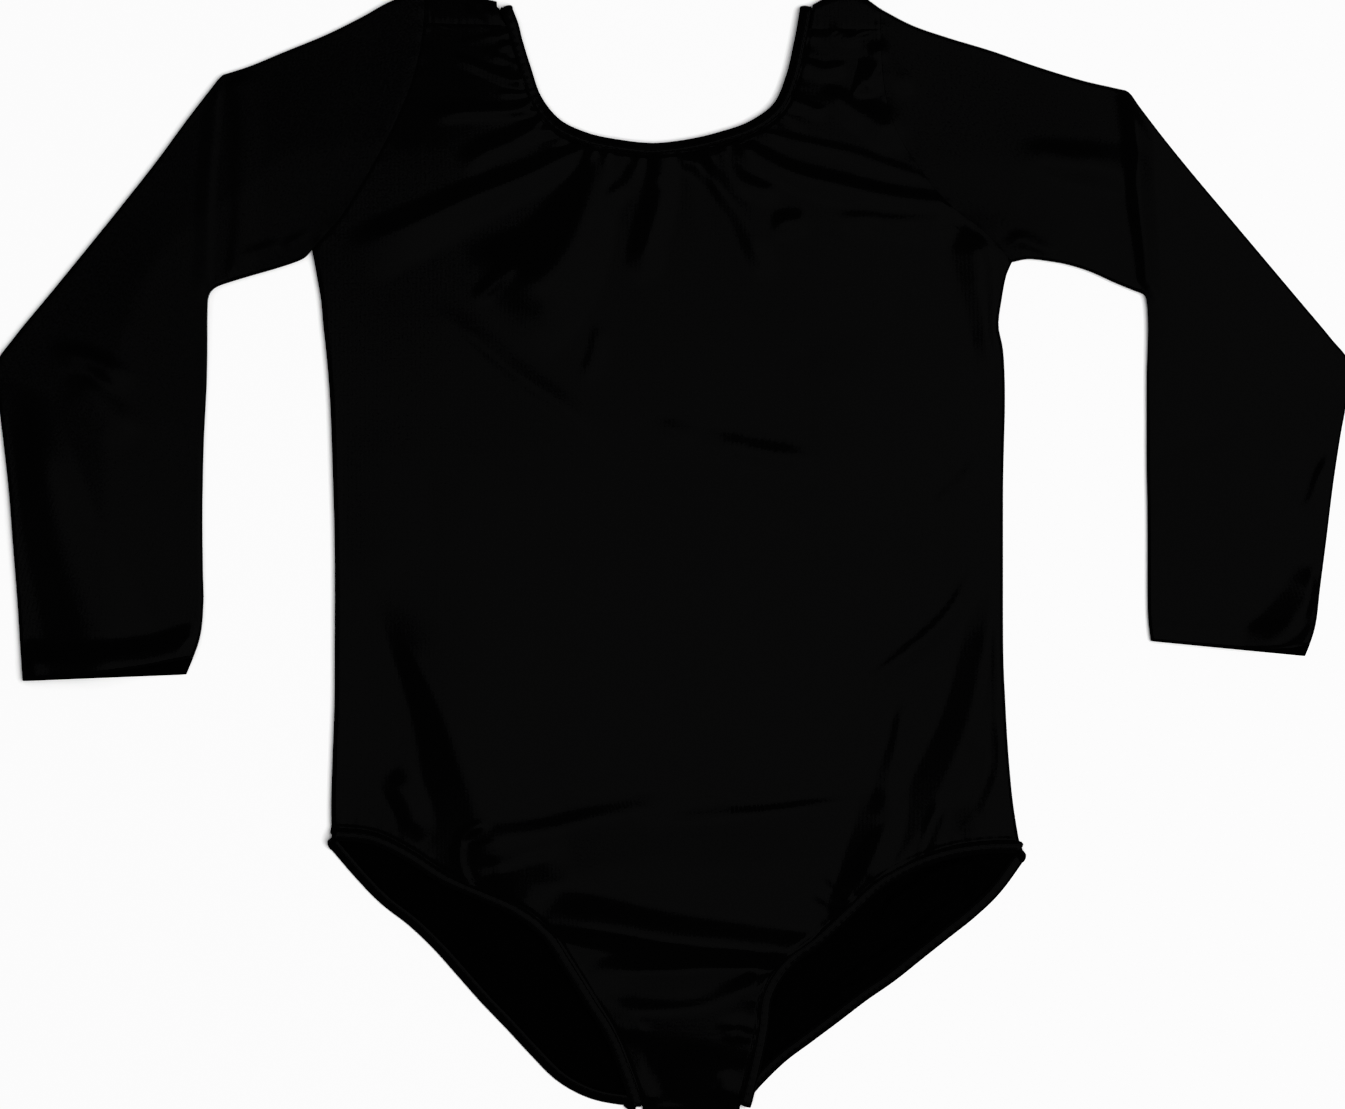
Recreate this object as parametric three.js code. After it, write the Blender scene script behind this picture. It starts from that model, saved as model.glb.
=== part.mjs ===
// A child's long-sleeved ballet leotard, laid out flat with its front up.
// Millimetres. +X is to the right seen from above, +Y runs to the neck and +Z is up from the surface.
// The back and the undersides of the sleeves lie flat on the surface at z = 0. The front and the tops
// of the sleeves lie on them, raised into the folds and gathers that the tables below give.

import * as THREE from "three";

// Driving sizes
const clothWall = 1.2;          // thickness given to each layer of stretch tricot
const seamGap = 0.3;            // clearance between pieces that are sewn together
const casingWidth = 5;          // turned casing round the neck and the legs, with elastic in it
const casingThickness = 1.6;
const airUnderFront = 1.4;      // how far the front lies above the back, away from folded edges
const leastAir = 0.45;          // what is left of that in the bottom of a crease
const edgeReach = 14;           // distance over which the front comes down to a folded edge
const crotchWrap = 8;           // how far the front reaches under the crotch fold
const crotchLow = -235.6;       // lowest edge of the garment
const gatherCount = 24;         // small gathers round the front neckline
const gatherLength = 11;
const gatherWidth = 3.1;
const gatherHeight = 1.4;

// Spacing of the points that carry the surfaces
const outlineStep = 9;
const sideStep = 13;
const foldStep = 11;
const fieldStep = 19;
const leastSpacing = 3.4;
const bendSteps = 4;

const backMiddle = clothWall / 2;
const frontMiddle = clothWall * 1.5 + seamGap;
const puffedMiddle = frontMiddle + airUnderFront;
const casingOffset = seamGap + casingWidth / 2;
const casingLow = casingThickness / 2 + 0.25;

// Side edges of the body, one row for each level
const bodySides = [
  { y: 116, left: -149.3, right: 140.1 },
  { y: 106, left: -147.6, right: 138.2 },
  { y: 95, left: -146.6, right: 136.9 },
  { y: 84, left: -145.4, right: 138.9 },
  { y: 64, left: -143.8, right: 139.6 },
  { y: 32, left: -142.6, right: 138.9 },
  { y: 0, left: -141.8, right: 138.8 },
  { y: -41, left: -141.8, right: 138.9 },
  { y: -62, left: -141.9, right: 139.7 },
  { y: -83, left: -142.6, right: 140.9 },
  { y: -104, left: -143.3, right: 142.8 },
];
const hipLeft = { x: -143.2, y: -115.6 };
const hipRight = { x: 145.4, y: -121 };
const hipEdgeLeft = -143.4;      // outer edge of each leg casing where it turns at the hip
const hipEdgeRight = 147.2;
const crotchEndLeft = -19.5;     // where each back strand turns up at the crotch
const crotchEndRight = 29.8;

// Armhole seams from the shoulder fold by way of the shoulder seam, the second row, to the underarm
const armholeLeft = [
  { x: -104, y: 236 },
  { x: -104.5, y: 222 },
  { x: -106, y: 211 },
  { x: -109, y: 199 },
  { x: -113.5, y: 187 },
  { x: -118.5, y: 176 },
  { x: -125, y: 164 },
  { x: -132, y: 152 },
  { x: -139.5, y: 140.5 },
  { x: -145.5, y: 133.5 },
  { x: -151.4, y: 127.3 },
];
const armholeRight = [
  { x: 87, y: 228.5 },
  { x: 87.3, y: 219.5 },
  { x: 87.6, y: 210 },
  { x: 88.5, y: 198 },
  { x: 91, y: 185 },
  { x: 95.5, y: 174 },
  { x: 102, y: 163.5 },
  { x: 110, y: 152.5 },
  { x: 119, y: 143.5 },
  { x: 130, y: 135.5 },
  { x: 142.6, y: 121.8 },
];

// Upper edge of each shoulder fold, from the armhole to the neck
const shoulderTopLeft = [
  { x: -104, y: 236 },
  { x: -98, y: 236 },
  { x: -92, y: 235.8 },
  { x: -86, y: 235 },
  { x: -80, y: 232.6 },
  { x: -74, y: 230.8 },
];
const shoulderTopRight = [
  { x: 87, y: 228.5 },
  { x: 81.5, y: 232.5 },
  { x: 76, y: 235.2 },
  { x: 70, y: 235 },
  { x: 64.5, y: 233 },
  { x: 59.1, y: 229.5 },
];

// Lines where the cloth is gathered into its casings
const neckFront = [
  { x: -70, y: 221 },
  { x: -68.2, y: 214 },
  { x: -64.7, y: 202.6 },
  { x: -59.7, y: 188.7 },
  { x: -50.4, y: 177.4 },
  { x: -37.2, y: 171 },
  { x: -22.7, y: 167.9 },
  { x: -8, y: 166.5 },
  { x: 6.6, y: 168 },
  { x: 21, y: 171.3 },
  { x: 34.9, y: 176.3 },
  { x: 46.6, y: 185.1 },
  { x: 52.7, y: 198.5 },
  { x: 56.1, y: 212.9 },
  { x: 57.4, y: 219.5 },
];
const neckBack = [
  { x: -74, y: 230.8 },
  { x: -70, y: 217 },
  { x: -66.5, y: 203 },
  { x: -62.5, y: 188 },
  { x: -55, y: 173 },
  { x: -44, y: 163.5 },
  { x: -28, y: 157.5 },
  { x: -8, y: 155.5 },
  { x: 12, y: 157.5 },
  { x: 31, y: 164 },
  { x: 45.5, y: 174.5 },
  { x: 53.5, y: 188 },
  { x: 56.5, y: 203 },
  { x: 58, y: 216 },
  { x: 59.1, y: 229.5 },
];
const legFrontLeft = [
  hipLeft,
  { x: -125.5, y: -117.5 },
  { x: -110, y: -124.7 },
  { x: -95.5, y: -134 },
  { x: -80, y: -141 },
  { x: -64.5, y: -148 },
  { x: -51, y: -158.5 },
  { x: -41.5, y: -172.5 },
  { x: -32.5, y: -187 },
  { x: -23.5, y: -201.5 },
  { x: -17, y: -217.5 },
  { x: -11.5, y: -231 },
];
const legFrontRight = [
  hipRight,
  { x: 130.5, y: -121.3 },
  { x: 114, y: -124 },
  { x: 98.3, y: -129.6 },
  { x: 84, y: -138 },
  { x: 71.6, y: -149.4 },
  { x: 59.3, y: -160.7 },
  { x: 46, y: -171 },
  { x: 37.2, y: -185 },
  { x: 34.8, y: -201.5 },
  { x: 31.3, y: -217.8 },
  { x: 27.3, y: -231 },
];
const legBackLeft = [
  { x: -143.2, y: -117.4 },
  { x: -129.7, y: -133.2 },
  { x: -119.3, y: -143.9 },
  { x: -107.4, y: -153.2 },
  { x: -96.6, y: -163.5 },
  { x: -86.6, y: -174.7 },
  { x: -76.7, y: -185.9 },
  { x: -66.3, y: -196.7 },
  { x: -56.1, y: -207.7 },
  { x: -45.7, y: -218 },
  { x: -34, y: -224.5 },
  { x: -22, y: -227.2 },
  { x: -11.5, y: -227.6 },
];
const legBackRight = [
  { x: 145.6, y: -123.4 },
  { x: 134.2, y: -139.1 },
  { x: 123.9, y: -149.2 },
  { x: 112.7, y: -158.1 },
  { x: 101.5, y: -167 },
  { x: 90.2, y: -176 },
  { x: 78.4, y: -184.2 },
  { x: 67, y: -192.9 },
  { x: 55.5, y: -201.5 },
  { x: 44, y: -210.1 },
  { x: 33.7, y: -220.1 },
  { x: 27.3, y: -227.6 },
];

// Sections across each sleeve after its armhole, from the outer edge to the inner one. At the seventh
// row the sleeve creases over, and the forearm is laid down on the upper arm.
const sleeveLeftRows = [
  { outerX: -117.8, outerY: 231.8, innerX: -154.3, innerY: 123.9 },
  { outerX: -130.8, outerY: 224.7, innerX: -158.6, innerY: 121.8 },
  { outerX: -145.5, outerY: 217.4, innerX: -166.5, innerY: 119.2 },
  { outerX: -163, outerY: 210.2, innerX: -175.5, innerY: 116.6 },
  { outerX: -177, outerY: 204.4, innerX: -184.6, innerY: 113.9 },
  { outerX: -186.4, outerY: 201.3, innerX: -191.2, innerY: 111.6 },
  { outerX: -189.6, outerY: 200, innerX: -194, innerY: 109.5 },
  { outerX: -194.6, outerY: 193.9, innerX: -195.3, innerY: 105.6 },
  { outerX: -204.5, outerY: 181, innerX: -195.5, innerY: 97.6 },
  { outerX: -217, outerY: 164, innerX: -195.5, innerY: 88.4 },
  { outerX: -230.5, outerY: 146.8, innerX: -195.6, innerY: 78.6 },
  { outerX: -246, outerY: 127.6, innerX: -195.9, innerY: 68.6 },
  { outerX: -262, outerY: 108, innerX: -196.4, innerY: 58.8 },
  { outerX: -276.5, outerY: 90.4, innerX: -196.9, innerY: 49.2 },
  { outerX: -284.6, outerY: 78, innerX: -197.2, innerY: 40.4 },
  { outerX: -283.4, outerY: 64, innerX: -197.4, innerY: 30.8 },
  { outerX: -281.2, outerY: 46, innerX: -197.6, innerY: 19.6 },
  { outerX: -279, outerY: 26, innerX: -197.6, innerY: 6.6 },
  { outerX: -277.2, outerY: 3, innerX: -197.4, innerY: -8 },
  { outerX: -275.4, outerY: -20, innerX: -197.2, innerY: -22 },
  { outerX: -274.2, outerY: -39, innerX: -198.8, innerY: -36.5 },
  { outerX: -273.2, outerY: -54.2, innerX: -204.3, innerY: -51.4 },
];
const sleeveRightRows = [
  { outerX: 100.6, outerY: 221.4, innerX: 149.3, innerY: 123.1 },
  { outerX: 115.5, outerY: 216.2, innerX: 156.9, innerY: 122.4 },
  { outerX: 134, outerY: 210.6, innerX: 166, innerY: 120.8 },
  { outerX: 153, outerY: 204, innerX: 175.6, innerY: 117.8 },
  { outerX: 172, outerY: 198.2, innerX: 185.4, innerY: 113.4 },
  { outerX: 186.6, outerY: 194.8, innerX: 193.6, innerY: 110 },
  { outerX: 191.8, outerY: 193.2, innerX: 198.2, innerY: 108 },
  { outerX: 196.4, outerY: 187, innerX: 200, innerY: 104 },
  { outerX: 206.5, outerY: 173.8, innerX: 199.8, innerY: 96.2 },
  { outerX: 219, outerY: 158.4, innerX: 199.7, innerY: 87.2 },
  { outerX: 233, outerY: 141.8, innerX: 199.4, innerY: 78 },
  { outerX: 248, outerY: 124, innerX: 199.3, innerY: 68.4 },
  { outerX: 263, outerY: 106.2, innerX: 199.3, innerY: 58.6 },
  { outerX: 276.6, outerY: 90, innerX: 199.3, innerY: 49.2 },
  { outerX: 284.6, outerY: 79, innerX: 199.3, innerY: 40.4 },
  { outerX: 283.4, outerY: 64, innerX: 199.4, innerY: 30.8 },
  { outerX: 280.6, outerY: 48, innerX: 199.6, innerY: 20 },
  { outerX: 277.6, outerY: 28, innerX: 199.7, innerY: 8 },
  { outerX: 274.9, outerY: 6, innerX: 199.7, innerY: -5 },
  { outerX: 272.2, outerY: -15, innerX: 199.7, innerY: -17.6 },
  { outerX: 270.2, outerY: -31, innerX: 200, innerY: -28.6 },
  { outerX: 266.1, outerY: -43.7, innerX: 201, innerY: -37.4 },
];

// Folds and creases, each a soft swell along a line through a start, a middle and an end. Rise is its
// height, less than zero for a trough, reach is half its width, and open tells which of its ends
// keep their full height: 1 the start, 2 the end, 3 both, 0 neither.
const neckFolds = [
  { x0: -86.5, y0: 229.5, x1: -78.5, y1: 222.5, x2: -71, y2: 212.5, reach: 4, rise: 1.7, open: 2 },
  { x0: -91, y0: 206.5, x1: -79, y1: 203.5, x2: -65.5, y2: 196.5, reach: 4.5, rise: 1.8, open: 2 },
  { x0: -99.5, y0: 182.5, x1: -79, y1: 183.5, x2: -56.5, y2: 181.5, reach: 5, rise: 2, open: 2 },
  { x0: -97.5, y0: 154.5, x1: -70.5, y1: 168, x2: -46.5, y2: 175, reach: 5.5, rise: 2.3, open: 2 },
  { x0: -121, y0: 132.5, x1: -81, y1: 152, x2: -44.5, y2: 170.5, reach: 5, rise: -1.3, open: 2 },
  { x0: -121, y0: 121, x1: -78, y1: 142, x2: -39, y2: 168, reach: 7, rise: 3, open: 2 },
  { x0: -76.5, y0: 103.5, x1: -50, y1: 133, x2: -35, y2: 163, reach: 9, rise: -1.4, open: 2 },
  { x0: -68, y0: 97, x1: -39, y1: 126, x2: -28, y2: 163, reach: 5, rise: 2, open: 2 },
  { x0: -18.5, y0: 118.5, x1: -5, y1: 150, x2: -10.5, y2: 165.5, reach: 4.5, rise: -1.1, open: 2 },
  { x0: 39, y0: 114.5, x1: 18, y1: 145.5, x2: 6.5, y2: 163.5, reach: 5, rise: -1.2, open: 2 },
  { x0: 49, y0: 119, x1: 27, y1: 147, x2: 14, y2: 166, reach: 5, rise: 1.7, open: 2 },
  { x0: 110, y0: 148, x1: 77.5, y1: 157, x2: 39, y2: 172, reach: 4.5, rise: -1.2, open: 2 },
  { x0: 115, y0: 141.5, x1: 78, y1: 150, x2: 38, y2: 165, reach: 5, rise: 2, open: 0 },
  { x0: 107, y0: 155, x1: 75, y1: 163.5, x2: 43, y2: 177, reach: 4, rise: 1.8, open: 2 },
  { x0: 95, y0: 169, x1: 72, y1: 178, x2: 49, y2: 186, reach: 4.5, rise: 2, open: 2 },
  { x0: 131, y0: 134.5, x1: 95.5, y1: 140.5, x2: 63.5, y2: 143, reach: 4, rise: -1.1, open: 0 },
  { x0: 84, y0: 196.5, x1: 79.5, y1: 204, x2: 75.5, y2: 210, reach: 5, rise: -1, open: 0 },
  { x0: 80, y0: 190, x1: 68, y1: 199, x2: 54, y2: 202, reach: 4, rise: 1.4, open: 2 },
];
const chestFolds = [
  { x0: -86, y0: 96.5, x1: -58, y1: 64, x2: -26, y2: 44.5, reach: 5, rise: -1, open: 0 },
  { x0: -80, y0: 102, x1: -52, y1: 69, x2: -20, y2: 49, reach: 5, rise: 1.1, open: 0 },
  { x0: 18.5, y0: 48, x1: 38.5, y1: 43.5, x2: 58.5, y2: 39.5, reach: 4.5, rise: -0.8, open: 0 },
  { x0: 118.5, y0: 128.5, x1: 124, y1: 106, x2: 131.5, y2: 73, reach: 5, rise: -1.3, open: 1 },
  { x0: 109, y0: 131, x1: 115, y1: 105, x2: 123, y2: 70, reach: 5.5, rise: 1.8, open: 0 },
  { x0: 128, y0: 51, x1: 121, y1: 34.5, x2: 106, y2: 19.5, reach: 4.5, rise: -0.8, open: 0 },
  { x0: 129, y0: 5, x1: 108, y1: -37, x2: 66, y2: -59, reach: 5.5, rise: 1, open: 0 },
];
const hipFolds = [
  { x0: -123.5, y0: -16, x1: -106, y1: -77, x2: -86.5, y2: -139, reach: 8, rise: -1.4, open: 2 },
  { x0: -133, y0: -26, x1: -118, y1: -82, x2: -101, y2: -131, reach: 6, rise: 1.9, open: 0 },
  { x0: -112, y0: -22, x1: -93, y1: -72, x2: -68, y2: -116, reach: 8, rise: 2.6, open: 0 },
  { x0: -72.5, y0: -120, x1: -34.5, y1: -113.5, x2: 0, y2: -104, reach: 4.5, rise: -1.1, open: 0 },
  { x0: -71, y0: -127, x1: -34, y1: -121, x2: 4, y2: -112, reach: 4.5, rise: 1.5, open: 0 },
  { x0: -75.8, y0: -117.2, x1: -87, y1: -126, x2: -83.4, y2: -140, reach: 4, rise: 1.8, open: 2 },
  { x0: 3, y0: -108.5, x1: 45, y1: -105, x2: 83, y2: -103, reach: 4.5, rise: -0.9, open: 0 },
  { x0: 133, y0: -24, x1: 117, y1: -77, x2: 82, y2: -135, reach: 6, rise: -1.4, open: 2 },
  { x0: 121, y0: -26, x1: 104, y1: -76, x2: 71, y2: -130, reach: 6, rise: 2.3, open: 0 },
  { x0: 136, y0: -52, x1: 126, y1: -88, x2: 97, y2: -126, reach: 5.5, rise: 2.2, open: 2 },
  { x0: 95.5, y0: -72.5, x1: 84, y1: -108, x2: 70, y2: -145, reach: 4.5, rise: -1.2, open: 2 },
];
const crotchFolds = [
  { x0: -60.5, y0: -150, x1: 3, y1: -151.5, x2: 61, y2: -160, reach: 4, rise: -1.1, open: 2 },
  { x0: -50, y0: -156, x1: 3, y1: -160, x2: 54, y2: -166, reach: 4, rise: 1.8, open: 2 },
  { x0: -41, y0: -167, x1: 0, y1: -168, x2: 44, y2: -173, reach: 4, rise: -1.1, open: 2 },
  { x0: -34.5, y0: -180, x1: -1, y1: -178.5, x2: 39, y2: -180, reach: 5, rise: 1.9, open: 2 },
  { x0: -28, y0: -195, x1: -4, y1: -196, x2: 24, y2: -205, reach: 4.5, rise: 1.9, open: 0 },
  { x0: 7.5, y0: -195, x1: 21, y1: -189.5, x2: 35, y2: -190, reach: 3.5, rise: 1.5, open: 2 },
  { x0: -20, y0: -206, x1: -8, y1: -213, x2: -4, y2: -226, reach: 4, rise: 1.4, open: 0 },
];
const sleeveFolds = [
  { x0: -194, y0: 194, x1: -196.5, y1: 155, x2: -198.5, y2: 112, reach: 6, rise: 2.1, open: 3 },
  { x0: -184.5, y0: 198, x1: -186, y1: 155, x2: -190, y2: 115, reach: 5, rise: -1.2, open: 3 },
  { x0: -277, y0: 62, x1: -259, y1: 22, x2: -246, y2: -40, reach: 7, rise: -1.3, open: 0 },
  { x0: -266, y0: 60, x1: -246, y1: 18, x2: -231, y2: -36, reach: 8, rise: 1.8, open: 0 },
  { x0: -274, y0: 80, x1: -247, y1: 66, x2: -224.5, y2: 42, reach: 6, rise: -1.2, open: 0 },
  { x0: -265, y0: 88, x1: -240.5, y1: 79, x2: -214, y2: 62, reach: 7, rise: 1.8, open: 0 },
  { x0: -265.5, y0: -40, x1: -232, y1: -39, x2: -203, y2: -34.5, reach: 5, rise: -1.2, open: 0 },
  { x0: 191, y0: 190, x1: 191, y1: 158, x2: 197, y2: 111, reach: 5, rise: -1.4, open: 3 },
  { x0: 199, y0: 182, x1: 200, y1: 155, x2: 204, y2: 108, reach: 6, rise: 2.1, open: 3 },
  { x0: 145, y0: 169.5, x1: 167, y1: 172, x2: 186, y2: 172, reach: 7, rise: -1, open: 0 },
  { x0: 269, y0: -9, x1: 256, y1: -20, x2: 243, y2: -33, reach: 6, rise: -1.3, open: 0 },
  { x0: 258, y0: -5, x1: 246, y1: -17, x2: 232, y2: -30, reach: 6, rise: 1.4, open: 0 },
];

const asPoint = (row) => new THREE.Vector2(row.x, row.y);

// Points evenly spaced along a smooth line through the rows of a table
function smoothLine(rows, step) {
  const curve = new THREE.CatmullRomCurve3(rows.map((row) => new THREE.Vector3(row.x, row.y, 0)));
  const count = Math.max(1, Math.round(curve.getLength() / step));
  return curve.getSpacedPoints(count).map(asPoint);
}

// The same line moved sideways, to its left as it runs
function movedLine(line, distance) {
  return line.map((point, index) => {
    const before = line[Math.max(index - 1, 0)];
    const after = line[Math.min(index + 1, line.length - 1)];
    const along = after.clone().sub(before).normalize();
    return new THREE.Vector2(point.x - along.y * distance, point.y + along.x * distance);
  });
}

// Nearest place on a line: how far it is, and its share of the line's length
function nearestOn(point, line) {
  const best = { distance: Infinity, share: 0 };
  const span = new THREE.Vector2();
  const reach = new THREE.Vector2();
  for (let index = 0; index < line.length - 1; index += 1) {
    span.subVectors(line[index + 1], line[index]);
    reach.subVectors(point, line[index]);
    const along = THREE.MathUtils.clamp(reach.dot(span) / span.lengthSq(), 0, 1);
    const distance = reach.addScaledVector(span, -along).length();
    if (distance < best.distance) {
      best.distance = distance;
      best.share = (index + along) / (line.length - 1);
    }
  }
  return best;
}

const sideLeft = [armholeLeft.at(-1), ...bodySides.map((row) => ({ x: row.left, y: row.y })), hipLeft];
const sideRight = [armholeRight.at(-1), ...bodySides.map((row) => ({ x: row.right, y: row.y })), hipRight];

// Edges where the cloth folds from the top layer to the bottom one, or is sewn down to it
const bareSleeveTop = 2;        // rows at the head of a sleeve that stay as full as the shoulder
const bareHip = 1;              // rows at the hip that stay full, for the leg casing to turn in
const foldedEdges = [
  [sleeveLeftRows, sideLeft],
  [sleeveRightRows, sideRight],
].flatMap(([rows, side]) => [
  rows.slice(bareSleeveTop).map((row) => new THREE.Vector2(row.outerX, row.outerY)),
  rows
    .map((row) => new THREE.Vector2(row.innerX, row.innerY))
    .reverse()
    .concat(side.slice(0, -bareHip).map(asPoint)),
]);

// A fold's line, a curve through the three places of its row
function withLine(fold) {
  const start = new THREE.Vector2(fold.x0, fold.y0);
  const end = new THREE.Vector2(fold.x2, fold.y2);
  const bend = new THREE.Vector2(fold.x1, fold.y1).multiplyScalar(2);
  bend.addScaledVector(start, -0.5).addScaledVector(end, -0.5);
  const curve = new THREE.QuadraticBezierCurve(start, bend, end);
  return { ...fold, curve, line: curve.getPoints(8) };
}

// Small gathers stand square to the neckline, at uneven places and of uneven length
const neckCurve = new THREE.CatmullRomCurve3(neckFront.map((row) => new THREE.Vector3(row.x, row.y, 0)));
const gatherShare = (number) => (number + 0.5 + 0.25 * Math.sin(2.4 * number)) / gatherCount;
const gathers = Array.from({ length: gatherCount }, (_, number) => {
  const share = gatherShare(number);
  const root = neckCurve.getPointAt(share);
  const along = neckCurve.getTangentAt(share);
  const length = gatherLength * (0.8 + 0.45 * Math.sin(1.7 * number + 0.6));
  const away = new THREE.Vector2(along.y, -along.x).multiplyScalar(length);
  return withLine({
    x0: root.x,
    y0: root.y,
    x1: root.x + away.x / 2,
    y1: root.y + away.y / 2,
    x2: root.x + away.x,
    y2: root.y + away.y,
    reach: gatherWidth,
    rise: gatherHeight,
    open: 1,
  });
});

const panelFolds = [...neckFolds, ...chestFolds, ...hipFolds, ...crotchFolds].map(withLine);
const allFolds = [...gathers, ...panelFolds, ...sleeveFolds.map(withLine)];

// Height of a fold at a share of its length, against its full height
function fadeAlong(share, open) {
  const fading = 0.35;
  const start = open % 2 === 1 ? 1 : THREE.MathUtils.smoothstep(share, 0, fading);
  const end = open >= 2 ? 1 : THREE.MathUtils.smoothstep(1 - share, 0, fading);
  return start * end;
}

// Height of the middle of the top layer of cloth above the surface that the garment lies on
function liftAt(point) {
  const inward = Math.min(...foldedEdges.map((edge) => nearestOn(point, edge).distance));
  const fullness = THREE.MathUtils.smoothstep(inward, 0, edgeReach);
  let lift = frontMiddle + airUnderFront * fullness;
  for (const fold of allFolds) {
    const near = nearestOn(point, fold.line);
    if (near.distance < fold.reach) {
      const across = 1 - (near.distance / fold.reach) ** 2;
      lift += fold.rise * across * across * fadeAlong(near.share, fold.open) * fullness;
    }
  }
  return Math.max(lift, frontMiddle + leastAir * fullness);
}

// Square to the top layer, from its height a little to each side
function liftNormal(point) {
  const reach = 1.5;
  const right = liftAt(new THREE.Vector2(point.x + reach, point.y));
  const left = liftAt(new THREE.Vector2(point.x - reach, point.y));
  const above = liftAt(new THREE.Vector2(point.x, point.y + reach));
  const below = liftAt(new THREE.Vector2(point.x, point.y - reach));
  return new THREE.Vector3(left - right, below - above, 2 * reach).normalize();
}

// A closed outline, counter-clockwise, drawn in by half of the seam gap
function drawnIn(outline) {
  return outline.map((point, index) => {
    const before = outline.at(index - 1);
    const after = outline[(index + 1) % outline.length];
    const arriving = point.clone().sub(before).normalize();
    const leaving = after.clone().sub(point).normalize();
    const inward = new THREE.Vector2(-arriving.y - leaving.y, arriving.x + leaving.x).normalize();
    const turn = Math.max(0.5, -arriving.y * inward.x + arriving.x * inward.y);
    return point.clone().addScaledVector(inward, seamGap / 2 / turn);
  });
}

function isInside(point, outline) {
  let inside = false;
  outline.forEach((corner, index) => {
    const next = outline[(index + 1) % outline.length];
    const crosses = corner.y > point.y !== next.y > point.y;
    const atX = corner.x + ((next.x - corner.x) * (point.y - corner.y)) / (next.y - corner.y);
    if (crosses && point.x < atX) inside = !inside;
  });
  return inside;
}

// Adds those of the wished points that lie inside the outline, keep their distance from the others and
// leave the circle on each edge of the outline empty, so that every such edge stays an edge
function addPoints(points, outline, wished) {
  for (const point of wished) {
    const clear = points.every((other) => other.distanceTo(point) > leastSpacing);
    const free = outline.every((corner, index) => {
      const next = outline[(index + 1) % outline.length];
      const toCorner = corner.clone().sub(point);
      return toCorner.dot(next.clone().sub(point)) > 0;
    });
    if (clear && free && isInside(point, outline)) points.push(point);
  }
}

// Points along the crest and both feet of a fold
function foldPoints(fold) {
  const count = Math.max(1, Math.round(fold.curve.getLength() / foldStep));
  const places = Array.from({ length: count + 1 }, (_, index) => index / count);
  const crest = places.map((share) => fold.curve.getPointAt(share));
  const feet = [-1, 1].flatMap((side) => places.map((share) => {
    const along = fold.curve.getTangentAt(share);
    const away = new THREE.Vector2(-along.y, along.x);
    return fold.curve.getPointAt(share).addScaledVector(away, side * fold.reach);
  }));
  return [...crest, ...feet];
}

// Loose points over the rest of a panel, every second row moved over by half a step
function fieldPoints(outline) {
  const box = new THREE.Box2().setFromPoints(outline);
  const points = [];
  const rowStep = fieldStep * 0.87;
  const rows = Math.ceil((box.max.y - box.min.y) / rowStep);
  const columns = Math.ceil((box.max.x - box.min.x) / fieldStep);
  for (let row = 1; row < rows; row += 1) {
    for (let column = 0; column <= columns; column += 1) {
      const x = box.min.x + (column + (row % 2) / 2 + 0.08 * Math.sin(row * 3 + column)) * fieldStep;
      points.push(new THREE.Vector2(x, box.min.y + row * rowStep));
    }
  }
  return points;
}

// Joins points into triangles with no other point inside the circle through each three of them, and
// keeps those that lie inside the outline, which the first points are
function joinPoints(points, outline) {
  const size = 5000;
  const far = [
    new THREE.Vector2(-size, -size),
    new THREE.Vector2(size, -size),
    new THREE.Vector2(0, size),
  ];
  const all = [...points, ...far];
  const circled = (a, b, c) => {
    const ab = all[b].clone().sub(all[a]);
    const ac = all[c].clone().sub(all[a]);
    const twice = 2 * ab.cross(ac);
    const x = (ac.y * ab.lengthSq() - ab.y * ac.lengthSq()) / twice;
    const y = (ab.x * ac.lengthSq() - ac.x * ab.lengthSq()) / twice;
    return { corners: [a, b, c], x: all[a].x + x, y: all[a].y + y, square: x * x + y * y };
  };
  let found = [circled(points.length, points.length + 1, points.length + 2)];
  points.forEach((point, index) => {
    const open = new Map();
    found = found.filter((triangle) => {
      const away = (point.x - triangle.x) ** 2 + (point.y - triangle.y) ** 2;
      if (away >= triangle.square - 1e-7) return true;
      triangle.corners.forEach((corner, place) => {
        const next = triangle.corners[(place + 1) % 3];
        if (!open.delete(`${next} ${corner}`)) open.set(`${corner} ${next}`, [corner, next]);
      });
      return false;
    });
    for (const [corner, next] of open.values()) found.push(circled(corner, next, index));
  });
  const triangles = found.map((triangle) => triangle.corners);
  return triangles.filter((corners) => {
    if (corners.some((corner) => corner >= points.length)) return false;
    const centre = new THREE.Vector2();
    for (const corner of corners) centre.addScaledVector(all[corner], 1 / 3);
    return isInside(centre, outline);
  });
}

// A sheet of cloth: the middle of its thickness at each point and the way its upper face looks there
function flatSheet(outline, wished, place) {
  const points = [...outline];
  addPoints(points, outline, wished);
  const triangles = joinPoints(points, outline);
  const places = points.map((point, index) => place(point, index < outline.length));
  return { places, triangles };
}

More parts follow.
